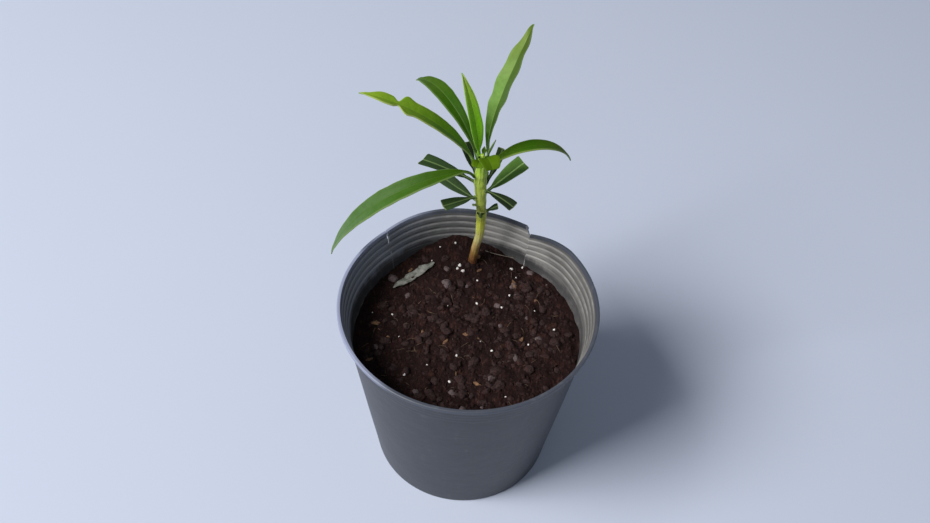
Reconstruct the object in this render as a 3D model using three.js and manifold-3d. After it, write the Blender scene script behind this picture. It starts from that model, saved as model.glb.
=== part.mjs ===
// A young oleander, rooted from a cutting, in a round ribbed nursery pot that has split at the back.
// Millimetres, +Z up. The origin is the middle of the pot's flat underside, and -Y is the front.
// Headings are degrees counted from +X towards +Y, and rises are degrees above the level.

import * as THREE from "three";
import { mergeVertices } from "three/addons/utils/BufferGeometryUtils.js";
import Module from "manifold-3d";

const wasm = await Module();
wasm.setup();

// Driving dimensions: the room left between neighbours
const CLEAR = 0.3;

// Driving dimensions: pot
const POT_HEIGHT = 155;
const RIM_RADIUS = 90;
const FOOT_RADIUS = 67;
const FOOT_CHAMFER = 2;
const WALL = 1.4;
const FLOOR = 2;
const LIP_HEIGHT = 3;
const LIP_OVERHANG = 1.1;
const LIP_ROUND = 0.6;
const RIB_COUNT = 4;
const RIB_FIRST_DEPTH = 4.6;
const RIB_PITCH = 5;
const RIB_STEP = 0.6;
const RIB_RISE = 0.9;
const POT_COLUMNS = 66;

// Driving dimensions: drain holes in the floor of the pot
const DRAIN_COUNT = 6;
const DRAIN_RADIUS = 5;
const DRAIN_RING = 45;
const DRAIN_SIDES = 16;

// Driving dimensions: the two splits that run down from the rim, and how the wall has given way there
const SPLIT_LEFT = 141;
const SPLIT_RIGHT = 68;
const SPLIT_DEPTH = 42;
const SPLIT_WIDTH = 1.5;
const SPLIT_TIP = 0.3;
const SPLIT_MARGIN = 0.3;
const SPLIT_INWARD = 20;
const SPLIT_OUTWARD = 5;
const BOW = 2.8;
const BOW_WAVE = 4.6;
const FLAP_SPAN = 26;
const FLAP_CURVE = 1.3;
const FLAP_INWARD = 7.5;
const FLAP_SINK = 2;
const GIVE_DEPTH = 50;

// Driving dimensions: the right split's crooked course, as the degrees that it strays clockwise at heights.
// Above its turn only the back part's edge slants, so the split gapes at the rim.
const TEAR_TURN = 145.4;
const TEAR = [
  { z: FOOT_CHAMFER, stray: 0 },
  { z: POT_HEIGHT - GIVE_DEPTH, stray: 2.6 },
  { z: TEAR_TURN, stray: 3.7 },
  { z: POT_HEIGHT, stray: 0 },
];
const TEAR_SPREAD = 16;
const SPLIT_ROWS = [POT_HEIGHT + LIP_HEIGHT, POT_HEIGHT, TEAR_TURN, POT_HEIGHT - SPLIT_DEPTH];

// Driving dimensions: potting mix, level but for a mound against the back wall
const SOIL_LEVEL = 119.5;
const SOIL_MOUND = { x: -20, y: 84, height: 15, spread: 34 };
const SOIL_RIPPLE = 0.8;
const SOIL_LUMPS = { long: 11, middle: 9, short: 7 };
const SOIL_ROOM = 0.66;
const SOIL_RINGS = 9;
const SOIL_SIDE_RINGS = 6;

// Driving dimensions: stem, as its sideways lean and radius at heights above the pot's underside
const STEM_FOOT = { x: -5.2, y: 63 };
const STEM_COURSE = [
  { z: 124, lean: 0, radius: 3.5 },
  { z: 132, lean: 0.4, radius: 3.1 },
  { z: 143, lean: 1.7, radius: 2.9 },
  { z: 156, lean: 4.1, radius: 3.1 },
  { z: 172, lean: 4.5, radius: 3.3 },
  { z: 189, lean: 3.8, radius: 3.5 },
  { z: 203, lean: 2.7, radius: 3.9 },
  { z: 215, lean: 2.4, radius: 4.0 },
  { z: 224, lean: 2.7, radius: 3.6 },
  { z: 230, lean: 2.7, radius: 2.7 },
  { z: 234, lean: 2.6, radius: 1.2 },
];
const STEM_SIDES = 12;
const STEM_STEPS = 34;
const STEM_HOLE_ROOM = 0.36;
const KNUCKLES = [176, 190, 200, 208, 217];
const KNUCKLE_SWELL = 0.35;
const KNUCKLE_REACH = 2.4;

// Driving dimensions: leaves
const LEAF_ACROSS = 4;
const LEAF_ALONG = 13;
const STUB_LENGTH = 12;
const STUB_ALONG = 5;
const FRAMES_A_STEP = 20;
const LEAF_LEAST_THICK = 0.9;
const LEAF_SLENDERNESS = 0.0106;
const STALK_SHARE = 0.055;
const STALK_REACH = 0.12;
const STALK_HALF_WIDTH = 1.3;
const STALK_THICK = 2;
const STALK_ROOM = 0.05;
const STALK_LIFT_REACH = 0.06;
const TIP_HALF_WIDTH = 0.35;
const BLADE_START = 0.3;
const FULLEST = 0.9;
const FULLNESS = 0.75;
const PINCH_DEPTH = 0.55;
const PINCH_REACH = 0.03;
const PINCH_TURN = 70;
const PINCH_TURN_REACH = 0.06;
const FOLD = 0.22;
const FOLD_CURVE = 1.3;
const TWIST_REACH = 0.16;
const WAVE_RATE = 34;
const WAVE_FULL = 0.5;
const OLD_LEAF_KEPT = 0.55;

// Every leaf, from the growing tip down. level is its height on the stem, sweep is how far it turns
// sideways on its way out, rise and tip are its angles at the stalk and at the end, stalkLift is a steeper
// start, twist turns the blade about its own length, fullest moves its widest place, pinch is where it is
// creased, and kept is the share of the leaf that is there. The old leaves have been cut back to about half.
const LEAVES = {
  leaf_bud_side: { level: 232, heading: -26, rise: 70, tip: 74, length: 20, width: 3.6 },
  leaf_young: { level: 230.5, heading: 135, rise: 84, tip: 51, length: 59, width: 9.2, fullest: 0.85 },
  leaf_tall: {
    level: 227.5,
    heading: 35,
    sweep: 36,
    rise: 98,
    tip: 31,
    length: 101,
    width: 13.6,
    twist: -13,
    fullest: 1.25,
    wave: 0.6,
  },
  leaf_front_left: { level: 229, heading: 254, rise: 62, tip: 12, length: 11, width: 8, kept: 0.6 },
  leaf_front_right: { level: 228.5, heading: 312, rise: 42, tip: -24, length: 10, width: 9, kept: 0.7 },
  leaf_pinched: {
    level: 226,
    heading: 188,
    sweep: 2,
    rise: 66,
    tip: 14,
    bend: 0.8,
    length: 98,
    width: 13.6,
    twist: -8,
    pinch: 0.735,
  },
  leaf_arched_left: {
    level: 225,
    heading: 133,
    sweep: -6,
    rise: 65,
    tip: -39,
    bend: 0.85,
    length: 96,
    width: 10.4,
    twist: -14,
    fullest: 1.05,
  },
  leaf_arched_right: {
    level: 222.5,
    heading: 20,
    sweep: 4,
    rise: 43,
    tip: -66,
    bend: 1.25,
    length: 70,
    width: 10.8,
    fullest: 0.8,
  },
  leaf_long_low: {
    level: 215.5,
    heading: 212,
    sweep: -35,
    rise: 24,
    tip: -73,
    bend: 0.7,
    stalkLift: 40,
    length: 139,
    width: 13.8,
    twist: -23,
  },
  cut_leaf_back_left: { level: 211.5, heading: 136, rise: 50, tip: 60, length: 24, width: 9, kept: 0.45 },
  cut_leaf_back_right: { level: 204, heading: 52, rise: 47, tip: 70, length: 28, width: 7.4, kept: 0.45 },
  cut_leaf_left_upper: {
    level: 208,
    heading: 172,
    sweep: -10,
    rise: 20,
    tip: -2,
    length: 39,
    width: 12,
    kept: 0.5,
  },
  cut_leaf_right_upper: { level: 196.5, heading: 45, rise: 19, tip: 16, length: 35, width: 14, kept: 0.5 },
  cut_leaf_right_lower: { level: 203.5, heading: -36, rise: 18, tip: -9, length: 26, width: 9.6, kept: 0.48 },
  cut_leaf_left_middle: { level: 189, heading: 148, rise: -2, tip: 9, length: 31, width: 12.4, kept: 0.48 },
  cut_leaf_left_lower: { level: 196.5, heading: 218, rise: 6, tip: 6, length: 26, width: 11, kept: 0.48 },
  cut_leaf_back: { level: 192, heading: 95, rise: 20, tip: 10, length: 20, width: 9, kept: 0.42 },
  stub_right: { level: 181, heading: 14, rise: 34, tip: 20, length: 8.5, width: 6.4, kept: 0.5 },
  stub_front: { level: 180, heading: 272, rise: 35, tip: 20, length: 6, width: 6, kept: 0.4 },
  stub_left: { level: 190, heading: 236, rise: 36, tip: 24, length: 4.5, width: 3.4, kept: 0.4 },
};

const LEAF_DEFAULTS = {
  sweep: 0,
  bend: 1,
  stalkLift: 0,
  twist: 0,
  fullest: FULLEST,
  wave: 0,
  pinch: 0,
  kept: 1,
};

// Driving dimensions: the withered leaf that lies on the potting mix
const DRY_LEAF = { x: -33, y: 57, heading: 222, length: 36, width: 8, thick: 1, curl: 1.6, lift: 1.1 };
const DRY_LEAF_ENDS = 0.08;
const DRY_LEAF_FULLNESS = 0.6;

const FINISHES = {
  pot: { color: 0x26292d, roughness: 0.42, metalness: 0 },
  soil: { color: 0x2b1d17, roughness: 0.95, metalness: 0 },
  stem: { color: 0x8d9a35, roughness: 0.6, metalness: 0 },
  leaf: { color: 0x4f9a2b, roughness: 0.4, metalness: 0 },
  cutLeaf: { color: 0x24482a, roughness: 0.4, metalness: 0 },
  dryLeaf: { color: 0x9aa58c, roughness: 0.9, metalness: 0 },
};

const radians = THREE.MathUtils.degToRad;
const { clamp, lerp, smoothstep } = THREE.MathUtils;

// The faces of a closed geometry with its shared corners merged.
function welded(geometry) {
  const bare = geometry.clone();
  bare.deleteAttribute("normal");
  bare.deleteAttribute("uv");
  return mergeVertices(bare, 1e-4);
}

// Moves every corner of a geometry to where place(x, y, z, index) puts it.
function reshaped(geometry, place) {
  const position = geometry.getAttribute("position");
  for (let i = 0; i < position.count; i += 1) {
    const moved = place(position.getX(i), position.getY(i), position.getZ(i), i);
    position.setXYZ(i, moved.x, moved.y, moved.z);
  }
  return geometry;
}

// A named piece in its finish.
function piece(name, geometry, finish) {
  const mesh = new THREE.Mesh(geometry, new THREE.MeshStandardMaterial(FINISHES[finish]));
  geometry.computeVertexNormals();
  mesh.name = name;
  return mesh;
}

// A closed geometry as a solid that can be cut.
function asSolid(geometry) {
  const merged = welded(geometry);
  return new wasm.Manifold(
    new wasm.Mesh({
      numProp: 3,
      vertProperties: merged.getAttribute("position").array,
      triVerts: new Uint32Array(merged.index.array),
    }),
  );
}

// A cut solid as a geometry again.
function asGeometry(solid) {
  const mesh = solid.getMesh();
  const geometry = new THREE.BufferGeometry();
  geometry.setAttribute("position", new THREE.BufferAttribute(mesh.vertProperties, mesh.numProp));
  geometry.setIndex(new THREE.BufferAttribute(mesh.triVerts, 1));
  return geometry;
}

// A place at a heading, a distance from the pot's axis and a height.
function polar(heading, radius, z) {
  return { x: radius * Math.cos(radians(heading)), y: radius * Math.sin(radians(heading)), z };
}

// Where a height falls on a rising list of stops: the stops on either side of it and its share of the way.
function between(stops, z) {
  let i = 0;
  while (i < stops.length - 2 && stops[i + 1].z < z) {
    i += 1;
  }
  const [low, high] = [stops[i], stops[i + 1]];
  return { low, high, share: clamp((z - low.z) / (high.z - low.z), 0, 1) };
}

// A place on the wall's column of corners at a heading. The columns near the right split stray with it.
function columnPlace(heading, radius, z) {
  const { low, high, share } = between(TEAR, heading < SPLIT_RIGHT ? Math.min(z, TEAR_TURN) : z);
  const nearness = clamp(1 - Math.abs(heading - SPLIT_RIGHT) / TEAR_SPREAD, 0, 1);
  return polar(heading - lerp(low.stray, high.stray, share) * nearness, radius, z);
}

// How far the top of the pot has given way at a heading, outwards and downwards, at the rim itself.
function wallGive(heading) {
  if (heading >= SPLIT_RIGHT && heading <= SPLIT_LEFT) {
    const along = (SPLIT_LEFT - heading) / (SPLIT_LEFT - SPLIT_RIGHT);
    return { out: BOW * Math.sin(BOW_WAVE * along), down: 0 };
  }
  if (heading > SPLIT_RIGHT - FLAP_SPAN && heading < SPLIT_RIGHT) {
    const along = (heading - SPLIT_RIGHT + FLAP_SPAN) / FLAP_SPAN;
    const share = Math.pow(along, FLAP_CURVE);
    return { out: -FLAP_INWARD * share, down: FLAP_SINK * share };
  }
  return { out: 0, down: 0 };
}

// The share of that give which is left at a height.
function giveShare(z) {
  return clamp((z - POT_HEIGHT + GIVE_DEPTH) / GIVE_DEPTH, 0, 1);
}

// The headings of the columns of corners: evenly spaced between the splits, and close beside each split.
function columnHeadings() {
  const beside = THREE.MathUtils.radToDeg((SPLIT_MARGIN * SPLIT_WIDTH) / RIM_RADIUS);
  const between = SPLIT_LEFT - SPLIT_RIGHT - 2 * beside;
  const round = 360 - between - 4 * beside;
  const inner = Math.round((POT_COLUMNS * between) / 360);
  const outer = POT_COLUMNS - inner - 2;
  const headings = [];
  for (let i = 0; i <= inner; i += 1) {
    headings.push(SPLIT_RIGHT + beside + (between * i) / inner);
  }
  for (let i = 0; i <= outer; i += 1) {
    headings.push((SPLIT_LEFT + beside + (round * i) / outer) % 360);
  }
  return headings;
}

const COLUMN_HEADINGS = columnHeadings();

// The outer radius of the wall at a height, with the ledges of its ribs near the top.
function wallRadius(z) {
  const depth = POT_HEIGHT - z;
  const top = RIM_RADIUS - LIP_OVERHANG;
  const taper = (top - RIB_COUNT * RIB_STEP - FOOT_RADIUS) / (POT_HEIGHT - FOOT_CHAMFER);
  let radius = top - depth * taper;
  for (let rib = 0; rib < RIB_COUNT; rib += 1) {
    const start = RIB_FIRST_DEPTH + rib * RIB_PITCH;
    radius -= RIB_STEP * clamp((depth - start) / RIB_RISE, 0, 1);
  }
  return radius;
}

// The inner radius of the wall at a heading and a height, with its give.
function innerRadius(heading, z) {
  return wallRadius(z) - WALL + wallGive(heading).out * giveShare(z);
}

// The heights at which the wall changes direction, from the foot to the topmost rib.
function wallHeights() {
  const heights = [FOOT_CHAMFER, POT_HEIGHT - GIVE_DEPTH];
  for (let rib = RIB_COUNT - 1; rib >= 0; rib -= 1) {
    const ledge = POT_HEIGHT - RIB_FIRST_DEPTH - rib * RIB_PITCH;
    heights.push(ledge - RIB_RISE, ledge);
  }
  return heights;
}

// The pot's section, from the middle of the underside up the outside, over the lip and down the inside.
function potProfile() {
  const under = POT_HEIGHT - LIP_HEIGHT;
  const mouth = wallRadius(POT_HEIGHT) - WALL;
  const outside = wallHeights().map((z) => [wallRadius(z), z]);
  const inside = outside.slice(1).reverse().map(([radius, z]) => [radius - WALL, z]);
  const corners = [
    [0, 0],
    [FOOT_RADIUS - FOOT_CHAMFER, 0],
    ...outside,
    [wallRadius(under), under],
    [RIM_RADIUS, under + LIP_ROUND],
    [RIM_RADIUS, POT_HEIGHT - LIP_ROUND],
    [RIM_RADIUS - LIP_ROUND, POT_HEIGHT],
    [mouth + LIP_ROUND, POT_HEIGHT],
    [mouth, POT_HEIGHT - LIP_ROUND],
    ...inside,
    [wallRadius(FLOOR) - WALL, FLOOR],
    [0, FLOOR],
  ];
  return corners.map(([radius, z]) => new THREE.Vector2(radius, z));
}

// One split as a solid to cut away: a narrow wedge that crosses the wall and follows the split down.
function splitWedge(heading) {
  const steps = SPLIT_ROWS.length - 1;
  const wedge = new THREE.BoxGeometry(1, 1, 1, 1, 1, steps);
  reshaped(wedge, (x, y, z) => {
    const height = SPLIT_ROWS[Math.round((z + 0.5) * steps)];
    const down = (SPLIT_ROWS[0] - height) / (SPLIT_ROWS[0] - SPLIT_ROWS[steps]);
    const width = lerp(SPLIT_WIDTH, SPLIT_TIP, down);
    const beside = THREE.MathUtils.radToDeg((x * width) / RIM_RADIUS);
    return columnPlace(heading + beside, RIM_RADIUS + lerp(-SPLIT_INWARD, SPLIT_OUTWARD, y + 0.5), height);
  });
  return asSolid(wedge);
}

// One drain hole as a solid to cut away.
function drainHole(index) {
  const hole = new THREE.CylinderGeometry(DRAIN_RADIUS, DRAIN_RADIUS, 3 * FLOOR, DRAIN_SIDES);
  const place = polar((360 * index) / DRAIN_COUNT, DRAIN_RING, FLOOR / 2);
  hole.rotateX(Math.PI / 2);
  hole.translate(place.x, place.y, place.z);
  return asSolid(hole);
}

function makePot() {
  const profile = potProfile();
  const shell = new THREE.LatheGeometry(profile, POT_COLUMNS);
  reshaped(shell, (x, y, z, index) => {
    const heading = COLUMN_HEADINGS[Math.floor(index / profile.length) % POT_COLUMNS];
    const radius = Math.hypot(x, z);
    const share = giveShare(y);
    const give = wallGive(heading);
    return columnPlace(heading, radius + give.out * share, y - give.down * share);
  });
  let pot = asSolid(shell);
  for (const heading of [SPLIT_LEFT, SPLIT_RIGHT]) {
    pot = pot.subtract(splitWedge(heading));
  }
  for (let i = 0; i < DRAIN_COUNT; i += 1) {
    pot = pot.subtract(drainHole(i));
  }
  return piece("pot", asGeometry(pot), "pot");
}

// The height of the potting mix: level, with a mound against the back wall and low lumps all over.
function soilHeight(x, y) {
  const away = Math.hypot(x - SOIL_MOUND.x, y - SOIL_MOUND.y) / SOIL_MOUND.spread;
  const broad = Math.sin(x / SOIL_LUMPS.middle + 1) * Math.cos(y / SOIL_LUMPS.long);
  const fine = Math.sin((x + 2 * y) / SOIL_LUMPS.short) / 2;
  return SOIL_LEVEL + SOIL_MOUND.height * Math.exp(-away * away) + SOIL_RIPPLE * (broad + fine);
}

// The potting mix fills the pot, and the stem's foot stands in a hole of its own shape.
function makeSoil() {
  const rings = SOIL_RINGS + SOIL_SIDE_RINGS;
  const profile = [];
  for (let ring = 0; ring <= rings + 1; ring += 1) {
    profile.push(new THREE.Vector2(ring > 0 && ring <= rings ? 1 : 0, ring));
  }
  const mix = new THREE.LatheGeometry(profile, POT_COLUMNS);
  const bottom = FLOOR + CLEAR;
  reshaped(mix, (x, y, z, index) => {
    const heading = COLUMN_HEADINGS[Math.floor(index / profile.length) % POT_COLUMNS];
    const ring = rings + 1 - (index % profile.length);
    if (ring > rings) {
      return polar(heading, 0, bottom);
    }
    const near = columnPlace(heading, innerRadius(heading, SOIL_LEVEL), SOIL_LEVEL);
    const top = soilHeight(near.x, near.y);
    const edge = innerRadius(heading, top) - SOIL_ROOM;
    if (ring < SOIL_RINGS) {
      const place = columnPlace(heading, (edge * ring) / SOIL_RINGS, top);
      return { ...place, z: soilHeight(place.x, place.y) };
    }
    const height = lerp(top, bottom, (ring - SOIL_RINGS) / SOIL_SIDE_RINGS);
    return columnPlace(heading, innerRadius(heading, height) - SOIL_ROOM, height);
  });
  const body = asSolid(mix).subtract(asSolid(stemGeometry(STEM_HOLE_ROOM)));
  return piece("soil", asGeometry(body), "soil");
}

// How much a knuckle, where leaves have grown, swells the stem at a height.
function knuckleSwell(z) {
  const nearness = KNUCKLES.map((knuckle) => 1 - Math.abs(z - knuckle) / KNUCKLE_REACH);
  return KNUCKLE_SWELL * clamp(Math.max(...nearness), 0, 1);
}

// The rings of corners of the stem: their heights, centres and radii, from the foot up.
function stemRings() {
  const bottom = STEM_COURSE[0].z;
  const height = STEM_COURSE[STEM_COURSE.length - 1].z - bottom;
  const rings = [];
  for (let step = 0; step <= STEM_STEPS; step += 1) {
    const z = bottom + (height * step) / STEM_STEPS;
    const { low, high, share } = between(STEM_COURSE, z);
    const radius = lerp(low.radius, high.radius, share) + knuckleSwell(z);
    rings.push({ z, x: STEM_FOOT.x + lerp(low.lean, high.lean, share), radius });
  }
  return rings;
}

const STEM_RINGS = stemRings();

// The stem's centre and radius at a height.
function stemAt(z) {
  const { low, high, share } = between(STEM_RINGS, z);
  return { x: lerp(low.x, high.x, share), y: STEM_FOOT.y, radius: lerp(low.radius, high.radius, share) };
}

// The stem as one tapering limb, made wider by extra all round where it cuts its own hole.
function stemGeometry(extra) {
  const limb = new THREE.CylinderGeometry(1, 1, STEM_STEPS, STEM_SIDES, STEM_STEPS);
  return reshaped(limb, (x, y, z) => {
    const ring = STEM_RINGS[Math.round(y + STEM_STEPS / 2)];
    const radius = ring.radius + extra;
    return { x: ring.x + x * radius, y: STEM_FOOT.y - z * radius, z: ring.z - extra };
  });
}

function makeStem() {
  return piece("stem", welded(stemGeometry(0)), "stem");
}

// Half the width of a blade at a share of the length that is left of it.
function halfWidth(leaf, along) {
  const blade = clamp((along * leaf.kept - STALK_SHARE) / (1 - STALK_SHARE), 0, 1);
  const outline = Math.pow(Math.sin(Math.PI * Math.pow(blade, leaf.fullest)), FULLNESS);
  const crease = Math.exp(-Math.pow((along - leaf.pinch) / PINCH_REACH, 2));
  const full = (leaf.width / 2) * outline * (leaf.pinch > 0 ? 1 - PINCH_DEPTH * crease : 1);
  const least = along < BLADE_START ? Math.min(STALK_HALF_WIDTH, leaf.width / 3) : TIP_HALF_WIDTH;
  return Math.max(full, least);
}

// Where a stalk starts: just clear of the widest stretch of stem that its end faces.
function stalkFoot(leaf) {
  const rise = radians(leaf.rise + leaf.stalkLift);
  const half = Math.min(STALK_THICK, leaf.width / 3) / 2;
  const reach = half * Math.abs(Math.cos(rise));
  const centre = stemAt(leaf.level);
  const faced = [-1, -0.5, 0, 0.5, 1].map((share) => {
    const limb = stemAt(leaf.level + share * reach);
    return limb.radius + (limb.x - centre.x) * Math.cos(radians(leaf.heading));
  });
  const out = Math.max(...faced) + CLEAR + STALK_ROOM + half * Math.abs(Math.sin(rise));
  const place = polar(leaf.heading, out, leaf.level);
  return new THREE.Vector3(centre.x + place.x, centre.y + place.y, place.z);
}

// Frames along a leaf, each a place with its sideways and upwards, found by stepping along its curve.
function leafFrames(leaf, steps) {
  const count = steps * FRAMES_A_STEP;
  const place = stalkFoot(leaf);
  const frames = [];
  for (let i = 0; i <= count; i += 1) {
    const along = i / count;
    const start = leaf.stalkLift * Math.exp(-Math.pow(along / STALK_LIFT_REACH, 2));
    const rise = radians(lerp(leaf.rise, leaf.tip, Math.pow(along, leaf.bend)) + start);
    const heading = leaf.heading + leaf.sweep * along;
    const flat = polar(heading, Math.cos(rise), Math.sin(rise));
    const ahead = new THREE.Vector3(flat.x, flat.y, flat.z);
    const level = new THREE.Vector3(-Math.sin(radians(heading)), Math.cos(radians(heading)), 0);
    const above = new THREE.Vector3().crossVectors(ahead, level);
    const crease = smoothstep(along, leaf.pinch - PINCH_TURN_REACH, leaf.pinch + PINCH_TURN_REACH);
    const twisted = leaf.twist * clamp(along / TWIST_REACH, 0, 1);
    const turned = radians(twisted + (leaf.pinch > 0 ? PINCH_TURN * crease : 0));
    const side = level.multiplyScalar(Math.cos(turned)).addScaledVector(above, Math.sin(turned));
    const up = new THREE.Vector3().crossVectors(ahead, side);
    frames.push({ place: place.clone(), side, up });
    place.addScaledVector(ahead, leaf.length / count);
  }
  return frames;
}

// A leaf: a blade, folded a little along its midrib, on a short thick stalk.
function makeLeaf(name, given) {
  const leaf = { ...LEAF_DEFAULTS, ...given };
  const steps = leaf.length < STUB_LENGTH ? STUB_ALONG : LEAF_ALONG;
  const frames = leafFrames(leaf, steps);
  const thick = Math.max(LEAF_LEAST_THICK, LEAF_SLENDERNESS * leaf.length);
  const blade = new THREE.BoxGeometry(2, 1, 1, LEAF_ACROSS, 1, steps);
  reshaped(blade, (x, y, z) => {
    const along = clamp(z + 0.5, 0, 1);
    const { place, side, up } = frames[Math.round(along * (frames.length - 1))];
    const half = halfWidth(leaf, along);
    const opened = smoothstep(along, 0, STALK_REACH);
    const waved = smoothstep(along, BLADE_START, WAVE_FULL);
    const wave = leaf.wave * Math.sin(along * WAVE_RATE) * Math.abs(x) * waved;
    const raised = FOLD * half * Math.pow(Math.abs(x), FOLD_CURVE) * opened + wave;
    const depth = lerp(Math.min(STALK_THICK, leaf.width / 3), thick, opened);
    return place.clone().addScaledVector(side, x * half).addScaledVector(up, raised + y * depth);
  });
  return piece(name, welded(blade), leaf.kept < OLD_LEAF_KEPT ? "cutLeaf" : "leaf");
}

// The withered leaf follows the lumps of the potting mix that it lies on.
function makeDryLeaf() {
  const { heading, length, width, thick, curl, lift } = DRY_LEAF;
  const blade = new THREE.BoxGeometry(2, 1, 1, LEAF_ACROSS, 1, LEAF_ALONG);
  reshaped(blade, (x, y, z) => {
    const along = z + 0.5;
    const outline = Math.sin(Math.PI * lerp(DRY_LEAF_ENDS, 1 - DRY_LEAF_ENDS, along));
    const half = (width / 2) * Math.pow(outline, DRY_LEAF_FULLNESS);
    const ahead = polar(heading, length * along, 0);
    const across = polar(heading + 90, x * half, 0);
    const place = { x: DRY_LEAF.x + ahead.x + across.x, y: DRY_LEAF.y + ahead.y + across.y };
    const raised = lift + curl * x * x * (half / width);
    return { ...place, z: soilHeight(place.x, place.y) + raised + y * thick };
  });
  return piece("dry_leaf", welded(blade), "dryLeaf");
}

const oleander = new THREE.Group();
oleander.add(makePot(), makeSoil(), makeStem());
for (const [name, leaf] of Object.entries(LEAVES)) {
  oleander.add(makeLeaf(name, leaf));
}
oleander.add(makeDryLeaf());

export default oleander;
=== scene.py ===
"""A young oleander, rooted from a trimmed cutting, in a split nursery pot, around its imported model.

Lengths are millimetres and angles are degrees until a mesh is placed; Blender itself works in metres.
Headings count from +X towards +Y, and rises count from the level upwards.
"""

import logging
import math
import random
from collections.abc import Callable, Iterator, Sequence
from contextlib import contextmanager
from dataclasses import dataclass, field
from enum import Enum

import bpy
import numpy as np
from mathutils import Matrix, Vector, noise


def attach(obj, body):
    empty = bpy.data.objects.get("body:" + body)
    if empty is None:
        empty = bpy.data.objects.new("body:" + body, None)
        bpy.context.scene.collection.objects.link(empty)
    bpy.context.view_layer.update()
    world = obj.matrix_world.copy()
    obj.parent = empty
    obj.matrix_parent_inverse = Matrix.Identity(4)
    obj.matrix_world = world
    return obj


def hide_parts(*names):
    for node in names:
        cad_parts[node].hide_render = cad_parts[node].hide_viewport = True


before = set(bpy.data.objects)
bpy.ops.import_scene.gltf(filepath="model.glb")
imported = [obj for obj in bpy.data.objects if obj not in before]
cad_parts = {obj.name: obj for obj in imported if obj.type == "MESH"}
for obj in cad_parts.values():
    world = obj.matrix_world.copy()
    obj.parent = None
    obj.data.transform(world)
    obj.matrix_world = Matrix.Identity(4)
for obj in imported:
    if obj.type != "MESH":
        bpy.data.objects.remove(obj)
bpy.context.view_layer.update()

log = logging.getLogger("oleander")

MM = 0.001
MERGE_DISTANCE = MM / 200
BODY = "root"

Colour = tuple[float, float, float]
Seen = tuple[int, int, int]
Place = tuple[float, float, float]
Values = np.ndarray
Piece = bpy.types.Object
Socket = bpy.types.NodeSocket


class Slot(Enum):
    """The material slots of the record."""

    POT = "pot_plastic"
    MIX = "potting_mix"
    STEM = "green_stem"
    LEAF = "fresh_leaf"
    OLD_LEAF = "old_leaf"
    DRY_LEAF = "withered_leaf"


class Side(Enum):
    """A side of a leaf, seen from its stalk."""

    LEFT = 1
    RIGHT = -1
    NEITHER = 0


def clamp(value: Values) -> Values:
    """Limits values to 0 to 1."""
    return np.clip(value, 0.0, 1.0)


def smoothstep(value: Values, low: float, high: float) -> Values:
    """Eases values from 0 at low to 1 at high."""
    share = clamp((value - low) / (high - low))
    return share * share * (3 - 2 * share)


def bell(value: Values, reach: float) -> Values:
    """A soft bump that is 1 at nought and has died away two reaches from it."""
    return np.exp(-((value / reach) ** 2))


def mixed(low: Values, high: Values, share: Values) -> Values:
    """Goes from low to high as share goes from 0 to 1."""
    return low + (high - low) * share


def roughness_at(points: Values, size: float, seed: float) -> Values:
    """Smooth random heights between about -1 and 1 at points, with bumps of a size, shifted by a seed."""
    shift = Vector((seed * 3.17, seed * 5.71, seed * 7.93))
    return np.array([noise.noise(Vector(point) / size + shift) for point in points])


def polar(heading: Values, radius: Values, height: Values) -> Values:
    """Places at headings, distances from the pot's axis and heights, one row each."""
    turn = np.radians(heading)
    return np.stack([radius * np.cos(turn), radius * np.sin(turn), height + 0 * turn], axis=-1)


def around(points: Values) -> tuple[Values, Values, Values]:
    """The headings, distances from the pot's axis and heights of places."""
    x, y, z = points.T
    return np.degrees(np.arctan2(y, x)) % 360, np.hypot(x, y), z


def pick(piece: Piece) -> None:
    """Selects one piece alone and makes it the active one.

    Args:
        piece: The piece.
    """
    bpy.ops.object.select_all(action="DESELECT")
    piece.select_set(True)
    bpy.context.view_layer.objects.active = piece


@contextmanager
def editing(piece: Piece) -> Iterator[None]:
    """Opens edit mode on one piece with all of it selected, and closes it again.

    Args:
        piece: The piece to edit.

    Yields:
        Nothing: the operators work on the piece meanwhile.
    """
    pick(piece)
    bpy.ops.object.mode_set(mode="EDIT")
    bpy.ops.mesh.select_all(action="SELECT")
    yield
    bpy.ops.object.mode_set(mode="OBJECT")


def primitive(name: str, add: Callable[..., object], **settings: object) -> Piece:
    """Adds a primitive with nothing else selected.

    Args:
        name: The piece's name.
        add: The primitive's operator.
        **settings: The operator's settings.

    Returns:
        The new piece.
    """
    bpy.ops.object.select_all(action="DESELECT")
    add(**settings)
    piece = bpy.context.view_layer.objects.active
    piece.name = piece.data.name = name
    return piece


def linked(name: str, data: bpy.types.ID) -> Piece:
    """Puts a new object into the scene.

    Args:
        name: Its name.
        data: Its mesh, curve, light or camera.

    Returns:
        The object.
    """
    item = bpy.data.objects.new(name, data)
    bpy.context.scene.collection.objects.link(item)
    return item


def points_of(piece: Piece) -> Values:
    """Reads a piece's corners.

    Args:
        piece: The piece.

    Returns:
        The corners in millimetres, one row each.
    """
    flat = np.empty(len(piece.data.vertices) * 3, np.float32)
    piece.data.vertices.foreach_get("co", flat)
    return flat.reshape(-1, 3).astype(float) / MM


def move_points(piece: Piece, points: Values) -> None:
    """Places a piece's corners, given in millimetres, one row each."""
    piece.data.vertices.foreach_set("co", (points * MM).astype(np.float32).ravel())
    piece.data.update()


def note(piece: Piece, **notes: Values) -> None:
    """Stores numbers for each corner.

    Args:
        piece: The piece.
        **notes: The numbers, by the names that the piece's finish reads.
    """
    for name, values in notes.items():
        layer = piece.data.attributes.new(name, "FLOAT", "POINT")
        layer.data.foreach_set("value", values.astype(np.float32))


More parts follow.
